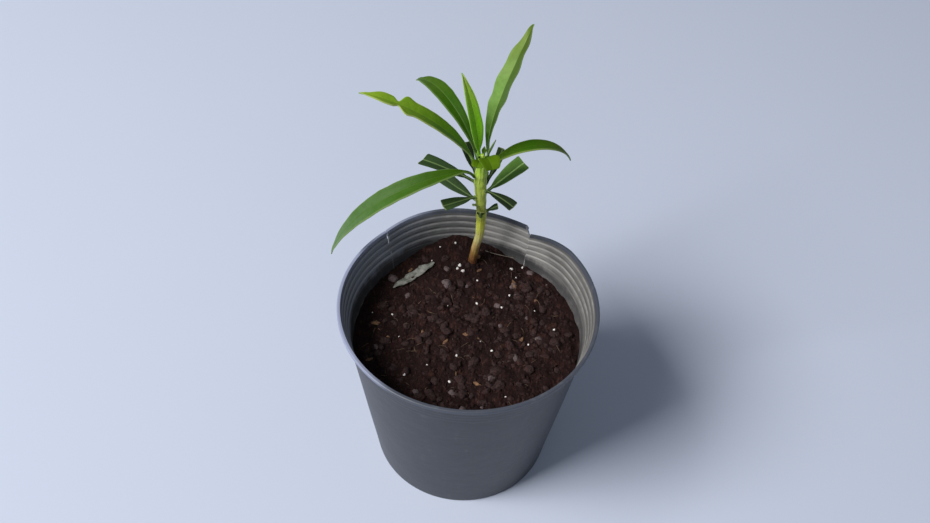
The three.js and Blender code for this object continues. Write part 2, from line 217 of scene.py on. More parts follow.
def note_blade(piece: Piece, aside: Values, half: Values, run: Values, **more: Values) -> None:
    """Stores how far each corner of a blade is from its midrib, its margin and its foot, and more."""
    note(piece, rib_mm=np.abs(aside) * half, edge_mm=(1 - np.abs(aside)) * half, run_mm=run, **more)


def apply_modifier(piece: Piece, kind: str, **settings: object) -> None:
    """Adds a modifier to a piece and applies it at once.

    Args:
        piece: The piece to change.
        kind: Blender's type of modifier.
        **settings: The modifier's properties.
    """
    pick(piece)
    modifier = piece.modifiers.new(kind.lower(), kind)
    for key, value in settings.items():
        setattr(modifier, key, value)
    bpy.ops.object.modifier_apply(modifier=modifier.name)


def sheet(name: str, grid: tuple[int, int]) -> tuple[Piece, Values, Values]:
    """Adds a flat grid, to be shaped into a blade.

    Args:
        name: The piece's name.
        grid: How many faces it has across and along.

    Returns:
        The piece, and where its corners lie across, from -1 to 1, and along, from 0 to 1.
    """
    columns, rows = grid
    add = bpy.ops.mesh.primitive_grid_add
    piece = primitive(name, add, x_subdivisions=columns, y_subdivisions=rows, size=MM)
    flat = points_of(piece)
    return piece, flat[:, 0] * 2, flat[:, 1] + 0.5


def turned(name: str, section: Sequence[tuple[float, float]], steps: int) -> Piece:
    """Turns a section round the upright axis: one vertex is extruded along it and spun.

    Args:
        name: The piece's name.
        section: Distances from the axis and heights, from the axis out and back to it.
        steps: How many columns of faces go round.

    Returns:
        The closed piece, with its faces outwards.
    """
    radius, height = section[0]
    place = (radius * MM, 0, height * MM)
    piece = primitive(name, bpy.ops.mesh.primitive_plane_add, size=MM, location=place)
    bpy.ops.object.transform_apply(location=True)
    with editing(piece):
        bpy.ops.mesh.merge(type="CENTER")
        for (radius, height), (next_radius, next_height) in zip(section, section[1:]):
            step = ((next_radius - radius) * MM, 0, (next_height - height) * MM)
            bpy.ops.mesh.extrude_vertices_move(TRANSFORM_OT_translate={"value": step})
        bpy.ops.mesh.select_all(action="SELECT")
        bpy.ops.mesh.spin(steps=steps, angle=math.tau, center=(0, 0, 0), axis=(0, 0, 1))
        bpy.ops.mesh.select_all(action="SELECT")
        bpy.ops.mesh.remove_doubles(threshold=MERGE_DISTANCE)
        bpy.ops.mesh.normals_make_consistent(inside=False)
    return piece


def hand_over(piece: Piece, finish: "Finish", slot: Slot, *nodes: str, smooth: float) -> None:
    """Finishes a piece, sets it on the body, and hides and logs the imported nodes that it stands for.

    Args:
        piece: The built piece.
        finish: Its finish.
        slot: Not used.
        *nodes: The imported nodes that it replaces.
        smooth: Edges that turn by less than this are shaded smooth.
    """
    piece.data.materials.append(finish.make())
    pick(piece)
    bpy.ops.object.shade_smooth_by_angle(angle=math.radians(smooth), keep_sharp_edges=False)
    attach(piece, BODY)
    if nodes:
        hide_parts(*nodes)
    log.info("%s: %d faces, for %s", piece.name, len(piece.data.polygons), nodes or "itself")


def seen(red: int, green: int, blue: int, lit: float = 0.72) -> Colour:
    """Turns a colour as it is seen in daylight into the colour of the thing itself.

    Args:
        red: The seen red, from 0 to 255.
        green: The seen green.
        blue: The seen blue.
        lit: How much of the daylight reaches the thing.

    Returns:
        The thing's own colour.
    """
    shares = [part / 255 for part in (red, green, blue)]
    linear = [part / 12.92 if part <= 0.04045 else ((part + 0.055) / 1.055) ** 2.4 for part in shares]
    return tuple(min(0.9, part / lit) for part in linear)


def operator(operation: str, reflected: bool = False) -> Callable[["Signal", object], "Signal"]:
    """Makes the method behind one of Python's operators.

    Args:
        operation: The Math node's operation.
        reflected: Whether the signal stands behind the operator, as in 1 - mask.

    Returns:
        The method.
    """
    def method(self: "Signal", other: object) -> "Signal":
        """Adds the operator's node."""
        return self.math(operation, *((other, self) if reflected else (self, other)))

    return method


@dataclass(frozen=True)
class Signal:
    """A number that varies over a surface, worked on with Python's own operators."""

    paint: "Paint"
    socket: Socket

    __add__, __radd__ = operator("ADD"), operator("ADD", True)
    __sub__, __rsub__ = operator("SUBTRACT"), operator("SUBTRACT", True)
    __mul__, __rmul__ = operator("MULTIPLY"), operator("MULTIPLY", True)
    __truediv__ = operator("DIVIDE")

    def math(self, operation: str, first: object, second: object) -> "Signal":
        """Adds the Math node of an operation on two numbers."""
        return self.paint.signal("Math", {"operation": operation}, {0: first, 1: second})

    def there_and_back(self, length: float) -> "Signal":
        """Rises from 0 to length and falls back again, over and over."""
        return self.math("PINGPONG", self, length)

    def part(self) -> "Signal":
        """What is left over its whole number."""
        return self.math("FRACT", self, 0.0)

    def step(self, low: float, high: float) -> "Signal":
        """Eases from 0 at low to 1 at high, or the other way where low is the larger."""
        sockets = {"Value": self, "From Min": low, "From Max": high}
        return self.paint.signal("MapRange", {"interpolation_type": "SMOOTHSTEP"}, sockets)


class Paint:
    """One material while its nodes are being laid."""

    def __init__(self, name: str) -> None:
        """Starts a material with its shader and its output.

        Args:
            name: The material's name.
        """
        self.material = bpy.data.materials.new(name)
        self.material.use_nodes = True
        self.tree = self.material.node_tree
        self.tree.nodes.clear()
        self.shader = self.node("BsdfPrincipled")
        self.node("OutputMaterial", {}, {"Surface": self.shader.outputs["BSDF"]})
        self.place = self.node("TexCoord").outputs["Object"]

    def node(
        self, kind: str, settings: dict | None = None, sockets: dict | None = None
    ) -> bpy.types.Node:
        """Adds one node.

        Args:
            kind: Blender's type of node, without the words that all of them start with.
            settings: Its properties, set first, with "stops" for a ramp's places and colours.
            sockets: The values or links of its inputs, by identifier, name or number.

        Returns:
            The new node.
        """
        made = self.tree.nodes.new(f"ShaderNode{kind}")
        for key, value in (settings or {}).items():
            if key == "stops":
                elements = made.color_ramp.elements
                while len(elements) < len(value):
                    elements.new(1.0)
                for element, (element.position, colour) in zip(elements, value):
                    element.color = (*colour, 1)
            else:
                setattr(made, key, value)
        by_identifier = {socket.identifier: socket for socket in made.inputs}
        for key, value in (sockets or {}).items():
            self.feed(by_identifier[key] if key in by_identifier else made.inputs[key], value)
        return made

    def signal(self, kind: str, settings: dict, sockets: dict, output: str | int = 0) -> Signal:
        """Adds one node and gives one of its outputs as a number."""
        return Signal(self, self.node(kind, settings, sockets).outputs[output])

    def feed(self, socket: Socket, value: object) -> None:
        """Links an input or sets it.

        Args:
            socket: The input.
            value: A signal or a socket to link, or a number or a colour.
        """
        value = value.socket if isinstance(value, Signal) else value
        if isinstance(value, Socket):
            self.tree.links.new(value, socket)
        else:
            socket.default_value = (*value, 1) if socket.type == "RGBA" else value

    def stored(self, *names: str) -> list[Signal]:
        """Numbers stored in the piece's mesh."""
        return [self.signal("Attribute", {"attribute_name": name}, {}, "Fac") for name in names]

    def stretched(self, x: float, y: float, z: float) -> Socket:
        """The place on the piece, with each direction scaled."""
        sockets = {0: self.place, 1: (x, y, z)}
        return self.node("VectorMath", {"operation": "MULTIPLY"}, sockets).outputs[0]

    def along_axis(self, axis: str) -> Signal:
        """The place along X, Y or Z in metres."""
        return self.signal("SeparateXYZ", {}, {0: self.place}, axis)

    def cloud(self, size: float, detail: float = 3, place: Socket | None = None) -> Signal:
        """Soft noise from 0 to 1, with patches of a size and so many finer layers, read at a place."""
        sockets = {"Vector": place or self.place, "Scale": 1 / (size * MM), "Detail": detail}
        return self.signal("TexNoise", {}, {**sockets, "Roughness": 0.55})

    def cells(self, size: float) -> Signal:
        """The distance to the nearest of many scattered points, in cell widths."""
        return self.signal("TexVoronoi", {}, {"Vector": self.place, "Scale": 1 / (size * MM)}, "Distance")

    def mix(self, share: Signal | float, first: object, second: object) -> Socket:
        """Mixes two colours.

        Args:
            share: How much of the second shows.
            first: A colour, or a socket that gives one.
            second: The other.

        Returns:
            The mixed colour.
        """
        sockets = {"Factor_Float": share, "A_Color": first, "B_Color": second}
        outputs = self.node("Mix", {"data_type": "RGBA"}, sockets).outputs
        return next(output for output in outputs if output.identifier == "Result_Color")

    def ramp(self, share: Signal, stops: Sequence[tuple[float, Colour]]) -> Socket:
        """A colour that goes through several stops."""
        return self.node("ValToRGB", {"stops": stops}, {"Fac": share}).outputs["Color"]

    def relief(self, height: Signal, depth: float, below: Socket | None = None) -> Socket:
        """Makes a bumpy surface.

        Args:
            height: The relief, from 0 to 1.
            depth: Its height in millimetres.
            below: A relief that this one lies on.

        Returns:
            The direction that the surface faces.
        """
        sockets = {"Height": height, "Distance": depth * MM, "Strength": 1.0}
        lower = {"Normal": below} if below else {}
        return self.node("Bump", {}, {**sockets, **lower}).outputs["Normal"]

    def done(self, **inputs: object) -> bpy.types.Material:
        """Feeds the shader.

        Args:
            **inputs: The shader's sockets, with underscores for spaces.

        Returns:
            The finished material.
        """
        for key, value in inputs.items():
            self.feed(self.shader.inputs[key.replace("_", " ")], value)
        return self.material


class Finish:
    """A finish, which makes its material."""

    def make(self) -> bpy.types.Material:
        """Makes the material."""
        raise NotImplementedError


@dataclass(frozen=True)
class PotPlastic(Finish):
    """Thin black pot plastic: bluish outside, greyed and banded inside, whitened where it has torn, with
    painted shade low on the inner wall and under the ledges, painted highlights on the ledges and at the
    back, and a painted sky reflection on the lip and the inner wall at the left.
    """

    outside: Colour = (0.027, 0.031, 0.040)
    # The lip is lighter and bluer than the outside, and lighter still on the left: a painted reflection
    # of the sky.
    lip: Colour = (0.060, 0.070, 0.094)
    left_lip_painted_reflection: Colour = (0.28, 0.315, 0.45)
    inside: Colour = (0.135, 0.138, 0.145)
    # The inner wall on the left is lighter and bluish: a painted reflection of the sky.
    left_inside_painted_reflection: Colour = (0.26, 0.29, 0.37)
    # The inner wall's tone on the right side.
    right_inside: Colour = (0.142, 0.141, 0.139)
    # A lighter patch at the back right of the inner wall: painted light that lifts the shadow the plant
    # casts there.
    back_painted_light: Colour = (0.35, 0.348, 0.342)
    # The colour of painted shade on the inner wall.
    shade: Colour = (0.030, 0.030, 0.035)
    dust: Colour = (0.36, 0.355, 0.35)
    stress: Colour = (0.75, 0.76, 0.75)
    first_ledge: float = 4.4
    ledge_pitch: float = 5

    def make(self) -> bpy.types.Material:
        """Lays the finish's nodes.

        Returns:
            The material.
        """
        paint = Paint("black_pot_plastic")
        depth, inside, torn, whitened = paint.stored("depth_mm", "inside", "torn_mm", "whitened")
        streaks = paint.cloud(5, 4, paint.stretched(1, 1, 0.1))
        rings = paint.cloud(1.1, 4, paint.stretched(0.05, 0.05, 1))
        specks, patches = paint.cloud(0.5, 2), paint.cloud(24, 3)
        band = ((depth - self.first_ledge + (patches - 0.5) * 0.8) / self.ledge_pitch).part()
        ribbed = depth.step(1.2, 2.4) * depth.step(26, 24)
        # Light lines on the ledges: painted highlight, laid in the dust colour.
        light = band.step(0.0, 0.08) * band.step(0.5, 0.25) * ribbed
        # Dark lines under the ledges: painted shade.
        dark = band.step(0.58, 0.78) * band.step(1.0, 0.94) * ribbed
        worn = (streaks * 0.5 + patches * 0.5).step(0.36, 0.6)
        sideways = paint.along_axis("X") / MM + (patches - 0.5) * 30
        # The left, right and back of the inner wall, where the painted shade and painted light differ.
        left, right = sideways.step(-35, -72), sideways.step(-26, 16)
        # The back of the inner wall, right of the stem, where painted light is laid and the painted shade
        # below the ribs is deeper.
        back = sideways.step(-6, 12) * sideways.step(58, 36)
        uneven = (patches - 0.5) * 12 + (streaks - 0.5) * 8
        # Painted shade: the inner wall darkens towards the soil, more on the left and at the back, less
        # on the right.
        low = (depth + uneven + (1 - right + back) * 4).step(23, 31)
        deep = low * (0.86 + left * 0.1 - right * 0.12 + back * 0.18)
        painted_shade_share = 1 - (1 - dark * (0.2 + worn * 0.3 - right * 0.12)) * (1 - deep)
        right_with_back_painted_light = paint.mix(back, self.right_inside, self.back_painted_light)
        wall = paint.mix(left, paint.mix(right, self.inside, right_with_back_painted_light), self.left_inside_painted_reflection)
        wall = paint.mix(painted_shade_share, wall, self.shade)
        # Painted highlight on the ledges and dust in rings, both in the dust colour.
        ledge_dust_and_highlight = light * (0.05 + worn * 0.24) + rings.step(0.5, 0.66) * (0.08 + worn * 0.2)
        wall = paint.mix(ledge_dust_and_highlight * depth.step(29, 25), wall, self.dust)
        # The lip: a painted reflection of the sky, stronger on the left.
        lip = paint.mix(left, self.lip, self.left_lip_painted_reflection)
        outer = paint.mix(depth.step(3.2, 2.4), self.outside, lip)
        wall = paint.mix(inside * depth.step(1.8, 3.4), outer, wall)
        splash = (specks * 0.5 + patches * 0.5 + depth.step(24, 38) * 0.12).step(0.58, 0.72) * inside
        film = (streaks * 0.5 + rings * 0.5).step(0.52, 0.7)
        dusty = 1 - (1 - splash * 0.25) * (1 - film * 0.12)
        white = (torn + specks * 0.9).step(1.35, 0.6) * whitened
        dents = paint.relief(patches, 0.5, paint.relief(paint.cloud(0.35, 2), 0.02))
        return paint.done(
            Base_Color=paint.mix(white, paint.mix(dusty, wall, self.dust), self.stress),
            Roughness=0.38 + inside * 0.12 + dusty * 0.3 + streaks * 0.08,
            Normal=paint.relief(rings, 0.03, dents),
        )


@dataclass(frozen=True)
class PottingMix(Finish):
    """Moist peat-based mix: brown crumbs and reddish fibre, with near-black painted shade in the hollows
    between the crumbs.
    """

    name: str = "potting_mix"
    painted_hollow_shade: Colour = (0.0045, 0.0022, 0.0022)
    brown: Colour = (0.020, 0.0078, 0.0071)
    reddish: Colour = (0.042, 0.0165, 0.0122)
    pale: Colour = (0.11, 0.08, 0.078)

    def make(self) -> bpy.types.Material:
        """Lays the finish's nodes.

        Returns:
            The material.
        """
        paint = Paint(self.name)
        crumbs, grit, clumps = paint.cloud(1.1, 4), paint.cloud(0.4, 3), paint.cloud(9, 3)
        threads = paint.cloud(1.6, 3, paint.stretched(1, 0.25, 1))
        # Near-black painted shade in the hollows, where the crumbs' relief is low.
        ground = paint.mix((crumbs * 0.6 + grit * 0.4).step(0.36, 0.62), self.painted_hollow_shade, self.brown)
        warm = paint.mix((clumps * 0.5 + threads * 0.5).step(0.5, 0.66) * 0.8, ground, self.reddish)
        return paint.done(
            Base_Color=paint.mix((threads * 0.5 + grit * 0.5).step(0.6, 0.68) * 0.6, warm, self.pale),
            Roughness=0.96 - crumbs.step(0.6, 0.4) * 0.14,
            Normal=paint.relief(crumbs, 0.7, paint.relief(grit, 0.25)),
            Specular_IOR_Level=0.15,
        )


@dataclass(frozen=True)
class Bits(Finish):
    """Small bits in the mix: perlite, bark chips, fibres or straw, each in two tones."""

    name: str
    light: Colour
    dark: Colour
    size: float
    depth: float
    roughness: float = 0.9

    def make(self) -> bpy.types.Material:
        """Lays the finish's nodes.

        Returns:
            The material.
        """
        paint = Paint(self.name)
        tone, grain = paint.cloud(self.size, 4), paint.cloud(self.size / 4, 3)
        return paint.done(
            Base_Color=paint.mix((tone * 0.6 + grain * 0.4).step(0.38, 0.62), self.dark, self.light),
            Roughness=self.roughness,
            Normal=paint.relief(grain, self.depth),
        )


@dataclass(frozen=True)
class StemBark(Finish):
    """Young bark: brown and cracked at the foot, yellow-green with fine ridges above it."""

    stops: tuple[tuple[float, Colour], ...] = (
        (124, seen(84, 46, 18, 1.2)),
        (131, seen(104, 53, 18, 1.15)),
        (138, seen(134, 94, 48, 0.8)),
        (145, seen(150, 126, 80, 0.56)),
        # The stops at 154 and 168 are the lightest: painted light that lifts the shadow the leaves cast
        # on the stem there.
        (154, seen(148, 142, 94, 0.42)),
        (168, seen(148, 152, 52, 0.36)),
        (182, seen(146, 154, 66, 0.62)),
        (206, seen(140, 158, 62, 0.56)),
        (226, seen(108, 142, 34, 0.58)),
    )
    cork: Colour = (0.26, 0.20, 0.11)
    groove: Colour = seen(92, 108, 28)
    streak: Colour = seen(182, 188, 112)

    def make(self) -> bpy.types.Material:
        """Lays the finish's nodes.

        Returns:
            The material.
        """
        paint = Paint("young_bark")
        low, high = self.stops[0][0], self.stops[-1][0]
        patches, fine = paint.cloud(5, 4), paint.cloud(0.5, 3)
        streaks = paint.cloud(1.1, 4, paint.stretched(1, 1, 0.09))
        cracks = paint.cloud(1.5, 4, paint.stretched(1, 1, 0.35))
        climbed = (paint.along_axis("Z") / MM - low) / (high - low) + (patches - 0.5) * 0.14
        skin = paint.ramp(climbed, [((z - low) / (high - low), colour) for z, colour in self.stops])
        young = climbed.step(0.2, 0.5)
        skin = paint.mix(streaks.step(0.5, 0.34) * (0.25 + young * 0.35), skin, self.groove)
        skin = paint.mix(streaks.step(0.52, 0.66) * young * 0.5, skin, self.streak)
        pores = paint.cells(3.2).step(0.13, 0.07) * climbed.step(0.7, 0.4)
        corky = 1 - (1 - pores * 0.7) * (1 - (fine * 0.6 + patches * 0.4).step(0.58, 0.7) * 0.5)
        old = climbed.step(0.24, 0.08)
        bumps = cracks * (old * 0.8 + 0.1) + pores * 0.4
        return paint.done(
            Base_Color=paint.mix(corky, skin, self.cork),
            Roughness=0.5 + old * 0.35 + corky * 0.1,
            Normal=paint.relief(bumps, 0.35, paint.relief(streaks, 0.22)),
        )


@dataclass(frozen=True)
class LeafTones:
    """The colours of one leaf: near the stalk, half way, at the end, and of its midrib and stalk.

    Attributes:
        rib_width: How wide the midrib shows, in millimetres.
        margin_share: How plainly the thin light margin shows.
        pale_side: The side whose margin is broad.
        pale_width: How broad it is, in millimetres.
        dark_side: The side whose half is darkened by painted shade.
        base_reach: The share of the length that has the colour near the stalk.
        cut: The dried end of a cut leaf.
        gloss: How strongly the skin mirrors the light.
    """

    base: Colour
    middle: Colour
    tip: Colour
    rib: Colour
    rib_width: float = 0.5
    margin: Colour = seen(158, 178, 92)
    margin_share: float = 0.5
    pale_side: Side = Side.NEITHER
    pale_width: float = 0
    dark_side: Side = Side.NEITHER
    base_reach: float = 0.06
    under: Colour = seen(104, 134, 70)
    cut: Colour = seen(116, 122, 78)
    gloss: float = 0.15


@dataclass(frozen=True)
class LeafSkin(Finish):
    """Leathery leaf: faint close veins, a pale midrib, a thin light margin and a dull underside, with
    painted shade on one half where a side is given.
    """

    name: str
    tones: LeafTones
    vein_pitch: float = 0.9
    vein_slant: float = 0.5
    ramp_reach: float = 0.36

    def make(self) -> bpy.types.Material:
        """Lays the finish's nodes.

        Returns:
            The material.
        """
        paint, tones = Paint(self.name), self.tones
        along, across, rib, edge = paint.stored("along", "across", "rib_mm", "edge_mm")
        run, end, under = paint.stored("run_mm", "end_mm", "under")
        broad, mottle, fine = paint.cloud(16, 3), paint.cloud(3.5, 4), paint.cloud(0.35, 2)
        grain = paint.cloud(2.2, 3, paint.stretched(0.6, 0.6, 0.6))
        start = tones.base_reach
        stops = [(start, tones.base), (start + self.ramp_reach, tones.middle), (1.0, tones.tip)]
        blade = paint.ramp(along + (broad - 0.5) * 0.35, stops)
        # A darker blade tone, for the random mottle and for the painted shade on one half.
        deep = paint.mix(0.5, paint.mix(0.6, blade, tones.base), (0.0, 0.0, 0.0))
        one_side = tones.dark_side is not Side.NEITHER
        # Painted shade: the half on the given side is darkened.
        shaded = (across * tones.dark_side.value).step(-0.12, 0.2) * 0.8 if one_side else 0.0
        blade = paint.mix(1 - (1 - mottle.step(0.6, 0.36) * 0.16) * (1 - shaded), blade, deep)
        slanted = (run - rib * self.vein_slant + broad * 1.6) / self.vein_pitch
        veins = slanted.there_and_back(0.5).step(0.16, 0.02) * edge.step(0.1, 1.0)
        blade = paint.mix(veins * 0.05, blade, tones.rib)
        midrib = (rib / tones.rib_width + along * 0.3).step(1.25, 0.6)
        blade = paint.mix(midrib * 0.9, blade, tones.rib)
        broadened = (across * tones.pale_side.value).step(0.1, 0.6) * tones.pale_width + 0.4
        rim = ((edge + (grain - 0.5) * 0.5) / broadened).step(1.25, 0.45)
        blade = paint.mix(rim * tones.margin_share, blade, tones.margin)
        back = paint.mix((midrib + veins * 0.1) * 0.7, tones.under, tones.rib)
        blade = paint.mix(under, blade, back)
        blade = paint.mix(along.step(0.075, 0.03), blade, tones.rib)
        dried = (end + (mottle - 0.5) * 0.6).step(0.4, 0.1)
        return paint.done(
            Base_Color=paint.mix(dried * 0.7, blade, tones.cut),
            Roughness=0.46 + under * 0.2 + mottle * 0.1 + dried * 0.25,
            Normal=paint.relief(veins * 0.35 + fine * 0.25, 0.045, paint.relief(mottle, 0.25)),
            Specular_IOR_Level=tones.gloss,
            Coat_Weight=0.03,
            Coat_Roughness=0.4,
        )


@dataclass(frozen=True)
class WitheredLeafSkin(Finish):
    """A dry leaf: pale grey-green and papery, with brown blotches and a raised rib."""

    pale: Colour = (0.125, 0.134, 0.114)
    bleached: Colour = (0.28, 0.28, 0.262)
    brown: Colour = (0.085, 0.06, 0.044)

    def make(self) -> bpy.types.Material:
        """Lays the finish's nodes.

        Returns:
            The material.
        """
        paint = Paint("withered_leaf")
        rib, edge, run = paint.stored("rib_mm", "edge_mm", "run_mm")
        blotches, fine = paint.cloud(5, 4), paint.cloud(0.5, 3)
        veins = ((run - rib * 0.6) / 1.1).there_and_back(0.5).step(0.2, 0.05)
        blade = paint.mix(blotches.step(0.42, 0.62), self.pale, self.bleached)
        blade = paint.mix(rib.step(0.5, 0.2) * 0.7, blade, self.bleached)
        spots = (blotches * 0.5 + fine * 0.5 - edge.step(0.0, 1.2) * 0.06).step(0.5, 0.6)
        return paint.done(
            Base_Color=paint.mix(spots * 0.55, blade, self.brown),
            Roughness=0.86,
            Normal=paint.relief(veins * 0.5 + fine * 0.5, 0.2, paint.relief(blotches, 0.6)),
        )


@dataclass(frozen=True)
class FloorFinish(Finish):
    """A plain pale floor."""

    tone: Colour = (0.52, 0.58, 0.72)

    def make(self) -> bpy.types.Material:
        """Lays the finish's nodes.

        Returns:
            The material.
        """
        paint = Paint("pale_floor")
        cloudy = paint.mix(paint.cloud(400, 2), self.tone, tuple(part * 1.03 for part in self.tone))
        return paint.done(Base_Color=cloudy, Roughness=0.85)


@dataclass
class PotWall:
    """The wall of the pot as a rule: its taper, its ledges, its two splits and how it has given way."""

    height: float = 155
    rim_radius: float = 90
    foot_radius: float = 67
    foot_chamfer: float = 2
    thickness: float = 1.4
    floor: float = 2
    lip_height: float = 3
    lip_overhang: float = 1.1
    rib_count: int = 4
    rib_first_depth: float = 4.6
    rib_pitch: float = 5
    rib_step: float = 0.6
    rib_rise: float = 0.9
    split_left: float = 141
    split_right: float = 68
    split_depth: float = 42
    bow: float = 2.8
    bow_wave: float = 4.6
    flap_span: float = 26
    flap_curve: float = 1.3
    flap_inward: float = 7.5
    flap_sink: float = 2
    give_depth: float = 50
    tear_turn: float = 145.4
    tear_spread: float = 16
    tear_stray: tuple[float, ...] = (0, 2.6, 3.7, 0)

    def radius(self, height: Values) -> Values:
        """The outer radius of the wall, with the ledges of its ribs near the top.

        Args:
            height: Heights above the ground.

        Returns:
            The radius at each.
        """
        depth = self.height - height
        top = self.rim_radius - self.lip_overhang
        drop = top - self.rib_count * self.rib_step - self.foot_radius
        radius = top - depth * drop / (self.height - self.foot_chamfer)
        for rib in range(self.rib_count):
            start = self.rib_first_depth + rib * self.rib_pitch
            radius = radius - self.rib_step * smoothstep(depth, start, start + self.rib_rise)
        return radius

    def give(self, heading: Values) -> tuple[Values, Values]:
        """How far the rim has given way.

        Args:
            heading: Headings round the rim.

        Returns:
            The give outwards and the give downwards at each.
        """
        across = (self.split_left - heading) / (self.split_left - self.split_right)
        back = (heading >= self.split_right) & (heading <= self.split_left)
        bowed = np.where(back, self.bow * np.sin(self.bow_wave * across), 0.0)
        near = (heading - self.split_right + self.flap_span) / self.flap_span
        share = np.where(heading < self.split_right, clamp(near) ** self.flap_curve, 0.0)
        return bowed - self.flap_inward * share, self.flap_sink * share

    def give_share(self, height: Values) -> Values:
        """The share of that give which is left at heights."""
        return clamp((height - self.height + self.give_depth) / self.give_depth)

    def inner_radius(self, heading: Values, height: Values) -> Values:
        """The inner radius of the wall with its give."""
        return self.radius(height) - self.thickness + self.give(heading)[0] * self.give_share(height)

    def column(self, heading: Values, radius: Values, height: Values) -> Values:
        """Places on the wall's columns, which stray beside the right split as it does.

        Args:
            heading: Where the columns stand at the foot.
            radius: Distances from the axis.
            height: Heights above the ground.

        Returns:
            The places, one row each.
        """
        heights = (self.foot_chamfer, self.height - self.give_depth, self.tear_turn, self.height)
        level = np.where(heading < self.split_right, np.minimum(height, self.tear_turn), height)
        stray = np.interp(level, heights, self.tear_stray)
        nearness = clamp(1 - np.abs(heading - self.split_right) / self.tear_spread)
        return polar(heading - stray * nearness, radius, height)

    def settle(self, points: Values) -> Values:
        """Takes points of the round, whole pot to where they are on the split one.

        Args:
            points: The points, one row each.

        Returns:
            The settled points.
        """
        heading, radius, height = around(points)
        out, down = self.give(heading)
        share = self.give_share(height)
        return self.column(heading, radius + out * share, height - down * share)


@dataclass(frozen=True)
class Tear:
    """One split of the wall: how it gapes, and how white its edges are, at depths below the rim."""

    heading: float
    depths: tuple[float, ...]
    gapes: tuple[float, ...]
    whites: tuple[float, ...]


